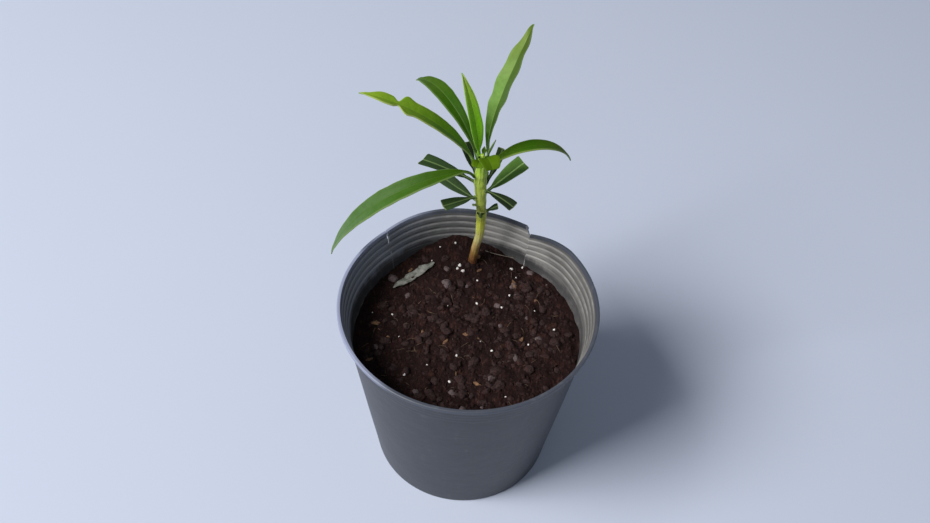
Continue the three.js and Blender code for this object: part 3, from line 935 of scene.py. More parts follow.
@dataclass
class Pot:
    """The ribbed nursery pot: turned, cut by its splits and drain holes, and settled out of round."""

    wall: PotWall
    tears: tuple[Tear, ...] = (
        Tear(141, (-3, 1.5, 3, 9, 11, 17, 18, 20, 42), (0.7, 0.7, 1.2, 1.0, 0.2, 0.16, 0.5, 0.14, 0.12),
             (0.1, 0.2, 1.0, 0.9, 0.05, 0.1, 0.9, 0.1, 0.1)),
        Tear(68, (-3, 1, 5, 10, 25, 27, 35, 38, 42), (0.8, 0.6, 0.3, 0.16, 0.14, 0.3, 0.26, 0.12, 0.12),
             (0.3, 0.5, 0.2, 0.1, 0.1, 1.0, 0.9, 0.2, 0.0)),
    )
    columns: int = 320
    plain_start: float = 5
    plain_pitch: float = 6
    ledge_pitch: float = 0.42
    ledge_foot: float = 129
    split_overlap: float = 3
    split_reach: tuple[float, float] = (70, 95)
    split_cuts: int = 44
    jag: float = 0.25
    jag_size: float = 2.6
    drain_count: int = 6
    drain_radius: float = 5
    drain_ring: float = 45
    drain_sides: int = 40
    dent: float = 0.18
    dent_size: float = 45
    dent_seed: int = 4
    dent_depth: float = 40
    dent_foot: tuple[float, float] = (4, 20)
    untorn: float = 99

    def section(self) -> list[tuple[float, float]]:
        """The section, up the outside, over the lip and down inside.

        Returns:
            Distances from the axis and heights, from the middle of the underside to that of the floor.
        """
        wall = self.wall
        foot, top, rim = wall.foot_radius, wall.height, wall.rim_radius
        mouth, under = float(wall.radius(top)) - wall.thickness, top - wall.lip_height
        heights = [*np.arange(wall.foot_chamfer + self.plain_start, self.ledge_foot, self.plain_pitch),
                   *np.arange(self.ledge_foot, under, self.ledge_pitch)]
        outside = [(float(wall.radius(height)), float(height)) for height in heights]
        inside = [(radius - wall.thickness, height) for radius, height in reversed(outside)]
        corner = float(wall.radius(wall.floor)) - wall.thickness
        underside = [(0, 0), (20, 0), (27, 0), (27.6, 0.5), (33.4, 0.5), (34, 0), (52, 0), (58, 0)]
        toe = [(foot - 2.2, 0), (foot - 0.9, 0.25), (foot - 0.2, 0.9), (foot, wall.foot_chamfer)]
        brow = [(float(wall.radius(under)), under), (rim - 0.45, under + 0.1), (rim - 0.12, under + 0.3)]
        lip = [(rim, under + 0.7), (rim, top - 0.7), (rim - 0.14, top - 0.28), (rim - 0.5, top - 0.04)]
        crest = [(rim - 0.9, top), (mouth + 0.7, top), (mouth + 0.22, top - 0.1), (mouth, top - 0.6)]
        floor = [(corner + 0.4, wall.floor + 2.6), (corner - 0.3, wall.floor + 0.7)]
        floor += [(corner - 1.6, wall.floor), (58, wall.floor), (30, wall.floor), (0, wall.floor)]
        return underside + toe + outside + brow + lip + crest + inside + floor

    def split_cutter(self, tear: Tear) -> Piece:
        """A jagged wedge that cuts one split.

        Args:
            tear: The split.

        Returns:
            The wedge, from over the rim down to the split's tip.
        """
        wall = self.wall
        piece = primitive("split_cutter", bpy.ops.mesh.primitive_cube_add, size=MM)
        with editing(piece):
            bpy.ops.mesh.subdivide(number_cuts=self.split_cuts)
        x, y, z = points_of(piece).T
        height = wall.height + self.split_overlap - (wall.split_depth + self.split_overlap) * (0.5 - z)
        width = np.interp(wall.height - height, tear.depths, tear.gapes)
        wander = np.stack([0 * height, 0 * height, height], axis=1)
        jag = self.jag * roughness_at(wander, self.jag_size, tear.heading)
        beside = np.degrees((-x * width + jag) / wall.rim_radius)
        move_points(piece, polar(tear.heading + beside, mixed(*self.split_reach, y + 0.5), height))
        return piece

    def drain_cutter(self, index: int) -> Piece:
        """A round bar that cuts one drain hole through the floor.

        Args:
            index: The number of the hole.

        Returns:
            The bar.
        """
        floor = self.wall.floor
        place = polar(np.array(360 * index / self.drain_count), self.drain_ring, floor / 2) * MM
        return primitive("drain_cutter", bpy.ops.mesh.primitive_cylinder_add, vertices=self.drain_sides,
                         radius=self.drain_radius * MM, depth=3 * floor * MM, location=place)

    def cut(self, pot: Piece) -> None:
        """Cuts the splits and the drain holes.

        Args:
            pot: The whole pot.
        """
        cutters = [self.split_cutter(tear) for tear in self.tears]
        cutters += [self.drain_cutter(index) for index in range(self.drain_count)]
        pick(cutters[0])
        for cutter in cutters:
            cutter.select_set(True)
        bpy.ops.object.join()
        apply_modifier(pot, "BOOLEAN", operation="DIFFERENCE", solver="EXACT", object=cutters[0])
        bpy.data.objects.remove(cutters[0])

    def notes(self, pot: Piece, points: Values) -> None:
        """Stores what the finish reads: the depth below the rim, the inner side and how near a tear is.

        Args:
            pot: The pot, cut but still round.
            points: Its corners in millimetres.
        """
        wall = self.wall
        heading, radius, height = around(points)
        depth = wall.height - height
        beside = np.array([np.abs(heading - tear.heading) for tear in self.tears])
        whites = np.array([np.interp(depth, tear.depths, tear.whites) for tear in self.tears])
        nearest = np.argmin(beside, axis=0)[None]
        beside = beside.min(axis=0) * math.radians(1) * wall.rim_radius
        note(
            pot,
            depth_mm=depth,
            whitened=np.take_along_axis(whites, nearest, axis=0)[0],
            inside=clamp((wall.radius(height) - radius) / wall.thickness),
            torn_mm=np.where(depth < wall.split_depth + 1, beside, self.untorn),
        )

    def build(self) -> Piece:
        """Turns, cuts and settles the pot.

        Returns:
            The finished pot.
        """
        pot = turned("nursery_pot", self.section(), self.columns)
        self.cut(pot)
        points = points_of(pot)
        self.notes(pot, points)
        settled, height = self.wall.settle(points), points[:, 2]
        reach = smoothstep(height, self.wall.height, self.wall.height - self.dent_depth)
        reach *= smoothstep(height, *self.dent_foot)
        dents = roughness_at(points, self.dent_size, self.dent_seed) * self.dent * reach
        outwards = settled[:, :2] / np.maximum(np.hypot(*settled[:, :2].T), 1)[:, None]
        settled[:, :2] += outwards * dents[:, None]
        move_points(pot, settled)
        return pot

    def dress(self, pot: Piece) -> None:
        """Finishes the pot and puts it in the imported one's place."""
        hand_over(pot, PotPlastic(), Slot.POT, "pot", smooth=35)


@dataclass
class SoilSurface:
    """The top of the potting mix as a rule: level, with a mound at the back, low waves and fine clods."""

    level: float = 119.5
    mound: tuple[float, float] = (-20, 84)
    mound_height: float = 15
    mound_spread: float = 34
    ripple: float = 0.8
    waves: tuple[float, float, float] = (11, 9, 7)
    clods: tuple[tuple[float, float], ...] = ((13, 2.0), (5.5, 1.7), (2, 0.7))
    calm_start: tuple[float, float] = (-33, 57)
    calm_end: tuple[float, float] = (-60, 33)
    calm_reach: float = 9
    calm_core: float = 0.4
    calm_rest: float = 0.12

    def plain(self, x: Values, y: Values) -> Values:
        """The height without the fine clods.

        Args:
            x: Places to the right.
            y: Places to the back.

        Returns:
            The height at each.
        """
        long, middle, short = self.waves
        away = np.hypot(x - self.mound[0], y - self.mound[1]) / self.mound_spread
        broad = np.sin(x / middle + 1) * np.cos(y / long)
        fine = np.sin((x + 2 * y) / short) / 2
        return self.level + self.mound_height * np.exp(-away * away) + self.ripple * (broad + fine)

    def calm(self, x: Values, y: Values) -> Values:
        """How much of the clods is left: little under the withered leaf.

        Args:
            x: Places to the right.
            y: Places to the back.

        Returns:
            The share at each.
        """
        start, end = np.array(self.calm_start), np.array(self.calm_end)
        way = end - start
        share = clamp(((x - start[0]) * way[0] + (y - start[1]) * way[1]) / (way @ way))
        gap = np.hypot(x - start[0] - way[0] * share, y - start[1] - way[1] * share)
        share = smoothstep(gap, self.calm_reach * self.calm_core, self.calm_reach)
        return mixed(self.calm_rest, 1.0, share)

    def height(self, x: Values, y: Values) -> Values:
        """The height with everything.

        Args:
            x: Places to the right.
            y: Places to the back.

        Returns:
            The height at each.
        """
        points = np.stack([x, y, 0 * x], axis=-1)
        rough = sum(deep * roughness_at(points, size, size) for size, deep in self.clods)
        return self.plain(x, y) + rough * self.calm(x, y)


# The bumps on a lump of size 1: their width, what is added to the lump's seed, and their height.
LUMP_BUMPS = ((0.62, 0.3, 1.2), (0.27, 0.7, 0.7))


@dataclass(frozen=True)
class Lumps:
    """One kind of rough lump on the mix: a few are modelled, and many copies are strewn.

    Attributes:
        shape: The length, width and height of a lump of size 1.
        rough: How uneven it is.
        seeds: A number for each lump that is modelled.
        count: How many lie at random places.
        sizes: Their least and greatest size in millimetres.
        sunk: How deep they sit, as a share of their size.
        lean: How far they lean at most.
        inset: How far they keep from the others' outer limit.
        known: The places and sizes of those that are seen.
        known_seat: How deep those sit and how far they lean.
        detail: How often the sphere behind a lump is divided.
        rarity: Above 1 large ones are rare, and the size is drawn before the place.
        calmed: The least size that is left where the mix is calm, or 0 where they keep their size.
    """

    name: str
    finish: Finish
    shape: tuple[float, float, float]
    rough: float
    seeds: range
    count: int
    sizes: tuple[float, float]
    sunk: float
    lean: float
    inset: float = 0
    known: tuple[tuple[float, float, float], ...] = ()
    known_seat: tuple[float, float] = (0, 0)
    detail: int = 3
    rarity: float = 1
    calmed: float = 0

    def model(self, seed: int) -> tuple[Values, Values]:
        """Models one lump.

        Args:
            seed: Its number.

        Returns:
            Its corners, and its triangles as rows of corner numbers.
        """
        add = bpy.ops.mesh.primitive_ico_sphere_add
        piece = primitive("lump", add, subdivisions=self.detail, radius=MM / 2)
        points = points_of(piece)
        bumps = sum(high * roughness_at(points, wide, seed + shift) for wide, shift, high in LUMP_BUMPS)
        points *= (1 + self.rough * bumps)[:, None]
        faces = np.empty(len(piece.data.polygons) * 3, int)
        piece.data.polygons.foreach_get("vertices", faces)
        bpy.data.objects.remove(piece)
        return points * np.array(self.shape), faces.reshape(-1, 3)

    def strew(self, places: Sequence[Matrix]) -> Piece:
        """Joins many copies of the modelled lumps into one piece.

        Args:
            places: Where each copy goes, how it is turned and how large it is.

        Returns:
            The joined piece.
        """
        models = [self.model(seed) for seed in self.seeds]
        points, faces, count = [], [], 0
        for index, place in enumerate(places):
            corners, triangles = models[index % len(models)]
            turn = np.array(place)
            points.append(corners @ turn[:3, :3].T + turn[:3, 3])
            faces.append(triangles + count)
            count += len(corners)
        mesh = bpy.data.meshes.new(self.name)
        mesh.from_pydata((np.concatenate(points) * MM).tolist(), [], np.concatenate(faces).tolist())
        return linked(self.name, mesh)


LUMPS = (
    Lumps("mix_crumbs",
          PottingMix("mix_crumb", painted_hollow_shade=(0.007, 0.004, 0.004), brown=(0.036, 0.018, 0.0165)),
          (1, 0.85, 0.7), 0.38, range(8), 2400, (0.8, 3.8), 0.12, 70, detail=2, rarity=2.4),
    Lumps("mix_clods",
          PottingMix("mix_clod", painted_hollow_shade=(0.011, 0.0065, 0.0065), brown=(0.052, 0.031, 0.030)),
          (1, 0.8, 0.62), 0.42, range(60, 66), 190, (3.2, 9.0), 0.12, 30, 4, calmed=1.5),
    Lumps("perlite_grains", Bits("perlite", (0.86, 0.84, 0.84), (0.64, 0.60, 0.60), 1.2, 0.25),
          (1, 0.86, 0.8), 0.3, range(20, 26), 30, (0.8, 2.2), 0.1, 60,
          known=((-13.8, 57.0, 2.6), (-15.1, 54.8, 2.2), (-10.8, 53.4, 2.8), (-19.9, 74.7, 2.3),
                 (24.6, 66.1, 2.6), (32.7, 69.1, 2.0), (0.9, 47.9, 2.0)), known_seat=(0.05, 60)),
    Lumps("pumice_lumps", Bits("pumice", (0.14, 0.10, 0.104), (0.055, 0.038, 0.040), 3, 0.5),
          (1, 0.78, 0.66), 0.32, range(80, 84), 16, (3, 6.5), 0.1, 40, 4,
          known=((-21.2, 40.5, 8.5), (-22.9, 54.6, 6.0), (-61.5, 42, 8), (39.2, 65.2, 6.5),
                 (-5.7, 42.9, 3.5)), known_seat=(0.1, 30)),
    Lumps("bark_chips", Bits("bark_chip", (0.24, 0.125, 0.06), (0.07, 0.035, 0.022), 1.6, 0.3),
          (1, 0.42, 0.16), 0.2, range(40, 45), 20, (3, 8), 0.02, 24, 3,
          known=((28.2, 51.0, 8.5), (0.9, 57.3, 4.6)), known_seat=(0.0, 14)),
)


@dataclass
class SoilBed:
    """The potting mix: a turned bed with clods on top, and what lies strewn over it."""

    wall: PotWall
    surface: SoilSurface
    columns: int = 360
    rings: int = 84
    side_rows: int = 8
    bottom: float = 2.3
    room: float = 0.25
    reach: float = 78
    fibre_count: int = 60
    fibre_inset: float = 6
    fibre_points: int = 7
    fibre_length: tuple[float, float] = (3, 9)
    fibre_bend: float = 70
    fibre_arch: tuple[float, float] = (0.1, 0.9)
    fibre_lift: float = 0.15
    fibre_thickness: float = 0.3
    straw_ends: tuple[tuple[float, float], ...] = ((-0.5, 72.4), (29.5, 77.0))
    straw_points: int = 14
    straw_bow: float = 0.5
    straw_lift: float = 0.5
    straw_thickness: float = 0.6
    thread_taper: float = 0.5
    chance: random.Random = field(default_factory=lambda: random.Random(31))

    def build_bed(self) -> Piece:
        """Turns the bed from a section in shares and gives it its radius and height everywhere.

        Returns:
            The closed bed.
        """
        sides = [(1.0, row / self.side_rows - 1) for row in range(self.side_rows + 1)]
        top = [(1 - ring / self.rings, 0.0) for ring in range(1, self.rings + 1)]
        bed = turned("potting_mix_bed", [(0.0, -1.0), *sides, *top], self.columns)
        heading, share, z = around(points_of(bed))
        level = self.surface.level
        near = self.wall.column(heading, self.wall.inner_radius(heading, level), level)
        height = mixed(self.bottom, self.surface.plain(near[:, 0], near[:, 1]), clamp(z + 1))
        radius = share * (self.wall.inner_radius(heading, height) - self.room)
        points = self.wall.column(heading, radius, height)
        upper = z > -0.5 / self.side_rows
        points[upper, 2] = self.surface.height(points[upper, 0], points[upper, 1])
        move_points(bed, points)
        return bed

    def spot(self, reach: float) -> tuple[float, float]:
        """A random place on the mix, as far out as reach."""
        heading, radius = self.chance.uniform(0, 360), reach * math.sqrt(self.chance.random())
        return radius * math.cos(math.radians(heading)), radius * math.sin(math.radians(heading))

    def seat(self, x: float, y: float, size: float, sunk: float, lean: float) -> Matrix:
        """How one lump lies.

        Args:
            x: Its place to the right.
            y: Its place to the back.
            size: Its scale.
            sunk: How deep it sits, as a share of its scale.
            lean: How far it leans at most.

        Returns:
            Its place, turn and scale.
        """
        height = float(self.surface.height(np.array([x]), np.array([y]))[0])
        turn = Matrix.Rotation(self.chance.uniform(0, math.tau), 4, "Z")
        tilt = Matrix.Rotation(math.radians(self.chance.uniform(-lean, lean)), 4, "X")
        return Matrix.Translation((x, y, height - sunk * size)) @ turn @ tilt @ Matrix.Scale(size, 4)

    def build_lumps(self, kind: Lumps) -> Piece:
        """Strews one kind of lump: first where they are seen, then at random.

        Args:
            kind: The kind.

        Returns:
            The piece.
        """
        places = [self.seat(*known, *kind.known_seat) for known in kind.known]
        (low, high), chance = kind.sizes, self.chance
        for _ in range(kind.count):
            share = chance.random() ** kind.rarity if kind.rarity > 1 else None
            x, y = self.spot(self.reach - kind.inset)
            size = low + (high - low) * (chance.random() if share is None else share)
            if kind.calmed:
                size = max(size * float(self.surface.calm(np.array(x), np.array(y))), kind.calmed)
            places.append(self.seat(x, y, size, kind.sunk, kind.lean))
        return kind.strew(places)

    def threads(self, name: str, paths: Sequence[Values], thickness: float) -> Piece:
        """Thin round threads along paths, made as one curve and then a mesh.

        Args:
            name: The piece's name.
            paths: The points of each thread in millimetres.
            thickness: The threads' diameter in millimetres.

        Returns:
            The piece.
        """
        curve = bpy.data.curves.new(name, "CURVE")
        curve.dimensions, curve.use_fill_caps = "3D", True
        curve.bevel_depth, curve.bevel_resolution = thickness / 2 * MM, 1
        for path in paths:
            spline = curve.splines.new("POLY")
            spline.points.add(len(path) - 1)
            for point, place, share in zip(spline.points, path, np.linspace(-1, 1, len(path))):
                point.co, point.radius = (*(place * MM), 1), 1 - self.thread_taper * share * share
        pick(linked(name, curve))
        bpy.ops.object.convert(target="MESH")
        return bpy.context.view_layer.objects.active

    def build_fibres(self) -> Piece:
        """Builds the short curly fibres that lie on the mix.

        Returns:
            The piece.
        """
        paths, chance, count = [], self.chance, self.fibre_points
        share = np.linspace(0, 1, count)
        for _ in range(self.fibre_count):
            x, y = self.spot(self.reach - self.fibre_inset)
            heading, length = chance.uniform(0, 360), chance.uniform(*self.fibre_length)
            bend = chance.uniform(-self.fibre_bend, self.fibre_bend)
            arch = chance.uniform(*self.fibre_arch)
            turn = np.radians(heading + bend * share)
            steps = np.cumsum([np.cos(turn), np.sin(turn)], axis=1) * length / count
            way = np.array([x, y])[:, None] + steps
            way = way * clamp(self.reach / np.maximum(np.hypot(*way), 1))
            lift = self.fibre_lift + arch * np.sin(math.pi * share)
            paths.append(np.stack([*way, self.surface.height(*way) + lift], axis=1))
        return self.threads("mix_fibres", paths, self.fibre_thickness)

    def build_straw(self) -> Piece:
        """Builds the thin pale straw that lies along the back wall.

        Returns:
            The piece.
        """
        (x0, y0), (x1, y1) = self.straw_ends
        share = np.linspace(0, 1, self.straw_points)
        x, y = mixed(x0, x1, share), mixed(y0, y1, share) - self.straw_bow * np.sin(math.pi * share)
        height = self.surface.height(x, y)
        level = np.maximum(mixed(height[0], height[-1], share), height)
        path = np.stack([x, y, level + self.straw_lift], axis=1)
        return self.threads("straw", [path], self.straw_thickness)

    def build(self) -> list[tuple[Piece, Finish]]:
        """Builds the bed and all that is strewn on it.

        Returns:
            The bed, the lumps, the fibres and the straw, each with its finish.
        """
        pieces = [(self.build_bed(), PottingMix())]
        pieces += [(self.build_lumps(kind), kind.finish) for kind in LUMPS]
        fibre = Bits("fibre", (0.20, 0.13, 0.08), (0.07, 0.042, 0.028), 3, 0.05)
        straw = Bits("straw", (0.32, 0.27, 0.22), (0.18, 0.15, 0.12), 2, 0.08, 0.6)
        return [*pieces, (self.build_fibres(), fibre), (self.build_straw(), straw)]

    def dress(self, pieces: Sequence[tuple[Piece, Finish]]) -> None:
        """Finishes the bed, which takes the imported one's place, and what lies on it."""
        for index, (piece, finish) in enumerate(pieces):
            hand_over(piece, finish, Slot.MIX, *([] if index else ["soil"]), smooth=60)


@dataclass
class StemCourse:
    """The stem's way up: how far it leans sideways and how thick it is at heights."""

    foot: tuple[float, float] = (-5.2, 63)
    heights: tuple[float, ...] = (124, 132, 143, 156, 172, 189, 203, 215, 224, 230, 234)
    leans: tuple[float, ...] = (0, 0.4, 1.7, 4.1, 4.5, 3.8, 2.7, 2.4, 2.7, 2.7, 2.6)
    radii: tuple[float, ...] = (3.5, 3.1, 2.9, 3.1, 3.3, 3.5, 3.9, 4.0, 3.6, 2.7, 1.2)
    knuckles: tuple[float, ...] = (176, 190, 200, 208, 217)
    swell: float = 0.3
    swell_reach: float = 4.2
    blur: float = 3.0
    blur_steps: int = 5

    def centre(self, height: Values) -> tuple[Values, Values]:
        """The stem's centre, rounded off where its lean changes.

        Args:
            height: Heights above the ground.

        Returns:
            The centre's places to the right and to the back.
        """
        shifts = np.linspace(-self.blur, self.blur, self.blur_steps)
        lean = sum(np.interp(height + shift, self.heights, self.leans) for shift in shifts) / len(shifts)
        return self.foot[0] + lean, self.foot[1] + 0 * height

    def radius(self, height: Values) -> Values:
        """The stem's radius, with its knuckles.

        Args:
            height: Heights above the ground.

        Returns:
            The radius at each.
        """
        nearness = [clamp(1 - np.abs(height - knuckle) / self.swell_reach) for knuckle in self.knuckles]
        swell = smoothstep(np.max(nearness, axis=0), 0, 1)
        return np.interp(height, self.heights, self.radii) + self.swell * swell


@dataclass
class Stem:
    """The one upright stem: turned, leaned, ridged below each leaf and cracked at its foot."""

    course: StemCourse
    leaves: Sequence["Leaf"]
    columns: int = 72
    pitch: float = 0.5
    ripple: float = 0.06
    ripple_turns: float = 9
    ripple_twist: float = 3
    ridge: float = 0.42
    ridge_reach: float = 0.9
    ridge_length: float = 20
    ridge_fade: float = 2.2
    ridge_top: tuple[float, float] = (-2.5, 1.5)
    cushion: float = 0.75
    cushion_reach: tuple[float, float] = (1.5, 2.2)
    cushion_drop: float = 0.6
    cushion_leaf: float = 9
    cushion_end: tuple[float, float] = (232, 218)
    bark: float = 0.16
    bark_size: float = 1.1
    bark_seed: int = 9
    bark_smooth: float = 0.3
    bark_foot: tuple[float, float] = (146, 132)
    dent: float = 0.14
    dent_size: float = 5
    dent_seed: int = 2

    def relief(self, heading: Values, height: Values, radius: Values) -> Values:
        """How far the skin stands out: ridges and cushions under the leaves, and rough bark.

        Args:
            heading: Where each corner faces.
            height: Its height.
            radius: The stem's radius there.

        Returns:
            The relief in millimetres.
        """
        waves = np.radians(heading * self.ripple_turns + height * self.ripple_twist)
        raised = self.ripple * np.sin(waves)
        aside, upright = self.cushion_reach
        for leaf in self.leaves:
            off = np.radians((heading - leaf.heading + 180) % 360 - 180) * radius
            below = leaf.level - height
            faded = np.exp(-np.maximum(below, 0) / self.ridge_length * self.ridge_fade)
            ridge = self.ridge * bell(off, self.ridge_reach) * faded
            raised = raised + ridge * smoothstep(below, *self.ridge_top)
            grown = self.cushion * min(1.0, leaf.width / self.cushion_leaf)
            grown = grown * float(smoothstep(leaf.level, *self.cushion_end))
            raised = raised + grown * bell(off, aside) * bell(below - self.cushion_drop, upright)
        spots = polar(heading, radius, height)
        cracked = roughness_at(spots * np.array([1, 1, 0.5]), self.bark_size, self.bark_seed)
        rough = self.bark * mixed(self.bark_smooth, 1.0, smoothstep(height, *self.bark_foot))
        return raised + cracked * rough + self.dent * roughness_at(spots, self.dent_size, self.dent_seed)

    def build(self) -> Piece:
        """Turns the stem, every ring 1 wide, and gives it its lean, taper and relief.

        Returns:
            The finished stem.
        """
        low, high = self.course.heights[0], self.course.heights[-1]
        rows = [(1.0, float(row)) for row in np.arange(low, high, self.pitch)]
        tip = [(share, high) for share in (0.7, 0.35, 0)]
        stem = turned("oleander_stem", [(0, low), *rows, *tip], self.columns)
        heading, share, height = around(points_of(stem))
        radius = self.course.radius(height)
        rough = self.relief(heading, height, radius) * smoothstep(share, 0.2, 0.9)
        placed = polar(heading, share * radius + rough, height)
        placed[:, :2] += np.stack(self.course.centre(height), axis=1)
        move_points(stem, placed)
        return stem

    def dress(self, stem: Piece) -> None:
        """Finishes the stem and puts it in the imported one's place."""
        hand_over(stem, StemBark(), Slot.STEM, "stem", smooth=70)


@dataclass
class LeafForm:
    """What all leaves share: their outline, fold, stalk and thickness."""

    clear: float = 0.35
    foot_steps: int = 5
    stalk_share: float = 0.055
    stalk_reach: float = 0.12
    stalk_half_width: float = 1.3
    stalk_thick: float = 2.0
    stalk_flat: float = 0.9
    stalk_lift_reach: float = 0.06
    tip_half_width: float = 0.35
    tip_taper: float = 0.3
    cut_round: float = 0.5
    cut_reach: float = 1.1
    blade_start: float = 0.3
    fullness: float = 0.75
    pinch_depth: float = 0.6
    pinch_reach: float = 0.025
    pinch_turn: float = 10
    pinch_turn_reach: float = 0.06
    lobe: float = 0.38
    lobe_back: float = 0.06
    lobe_reach: float = 0.038
    end_swell: float = 0.5
    end_after: float = 0.12
    end_reach: float = 0.075
    fold: float = 0.22
    fold_curve: float = 1.3
    twist_reach: float = 0.16
    wave_rate: float = 34
    wave_full: float = 0.5
    blade_thick: float = 0.55
    rib_thick: float = 0.75
    rib_reach: float = 0.62
    rib_end: float = 0.25
    margin_thin: float = 0.4
    margin_sharp: float = 6
    groove: float = 0.16
    groove_reach: float = 0.42
    roll: float = 0.34
    roll_reach: float = 0.8
    roll_widths: tuple[float, float] = (1.2, 2.4)
    slant_start: float = 0.6
    point_start: float = 0.93
    uneven: float = 0.055
    uneven_size: float = 7
    uneven_gap: float = 9
    crinkle: float = 0.28
    crinkle_size: float = 13
    root_length: float = 2.4
    root_rise: float = 0.35
    root_rows: int = 7
    long_from: float = 40
    long_grid: tuple[int, int] = (30, 130)
    short_grid: tuple[int, int] = (22, 56)
    uncut: float = 9
    frame_steps: int = 260


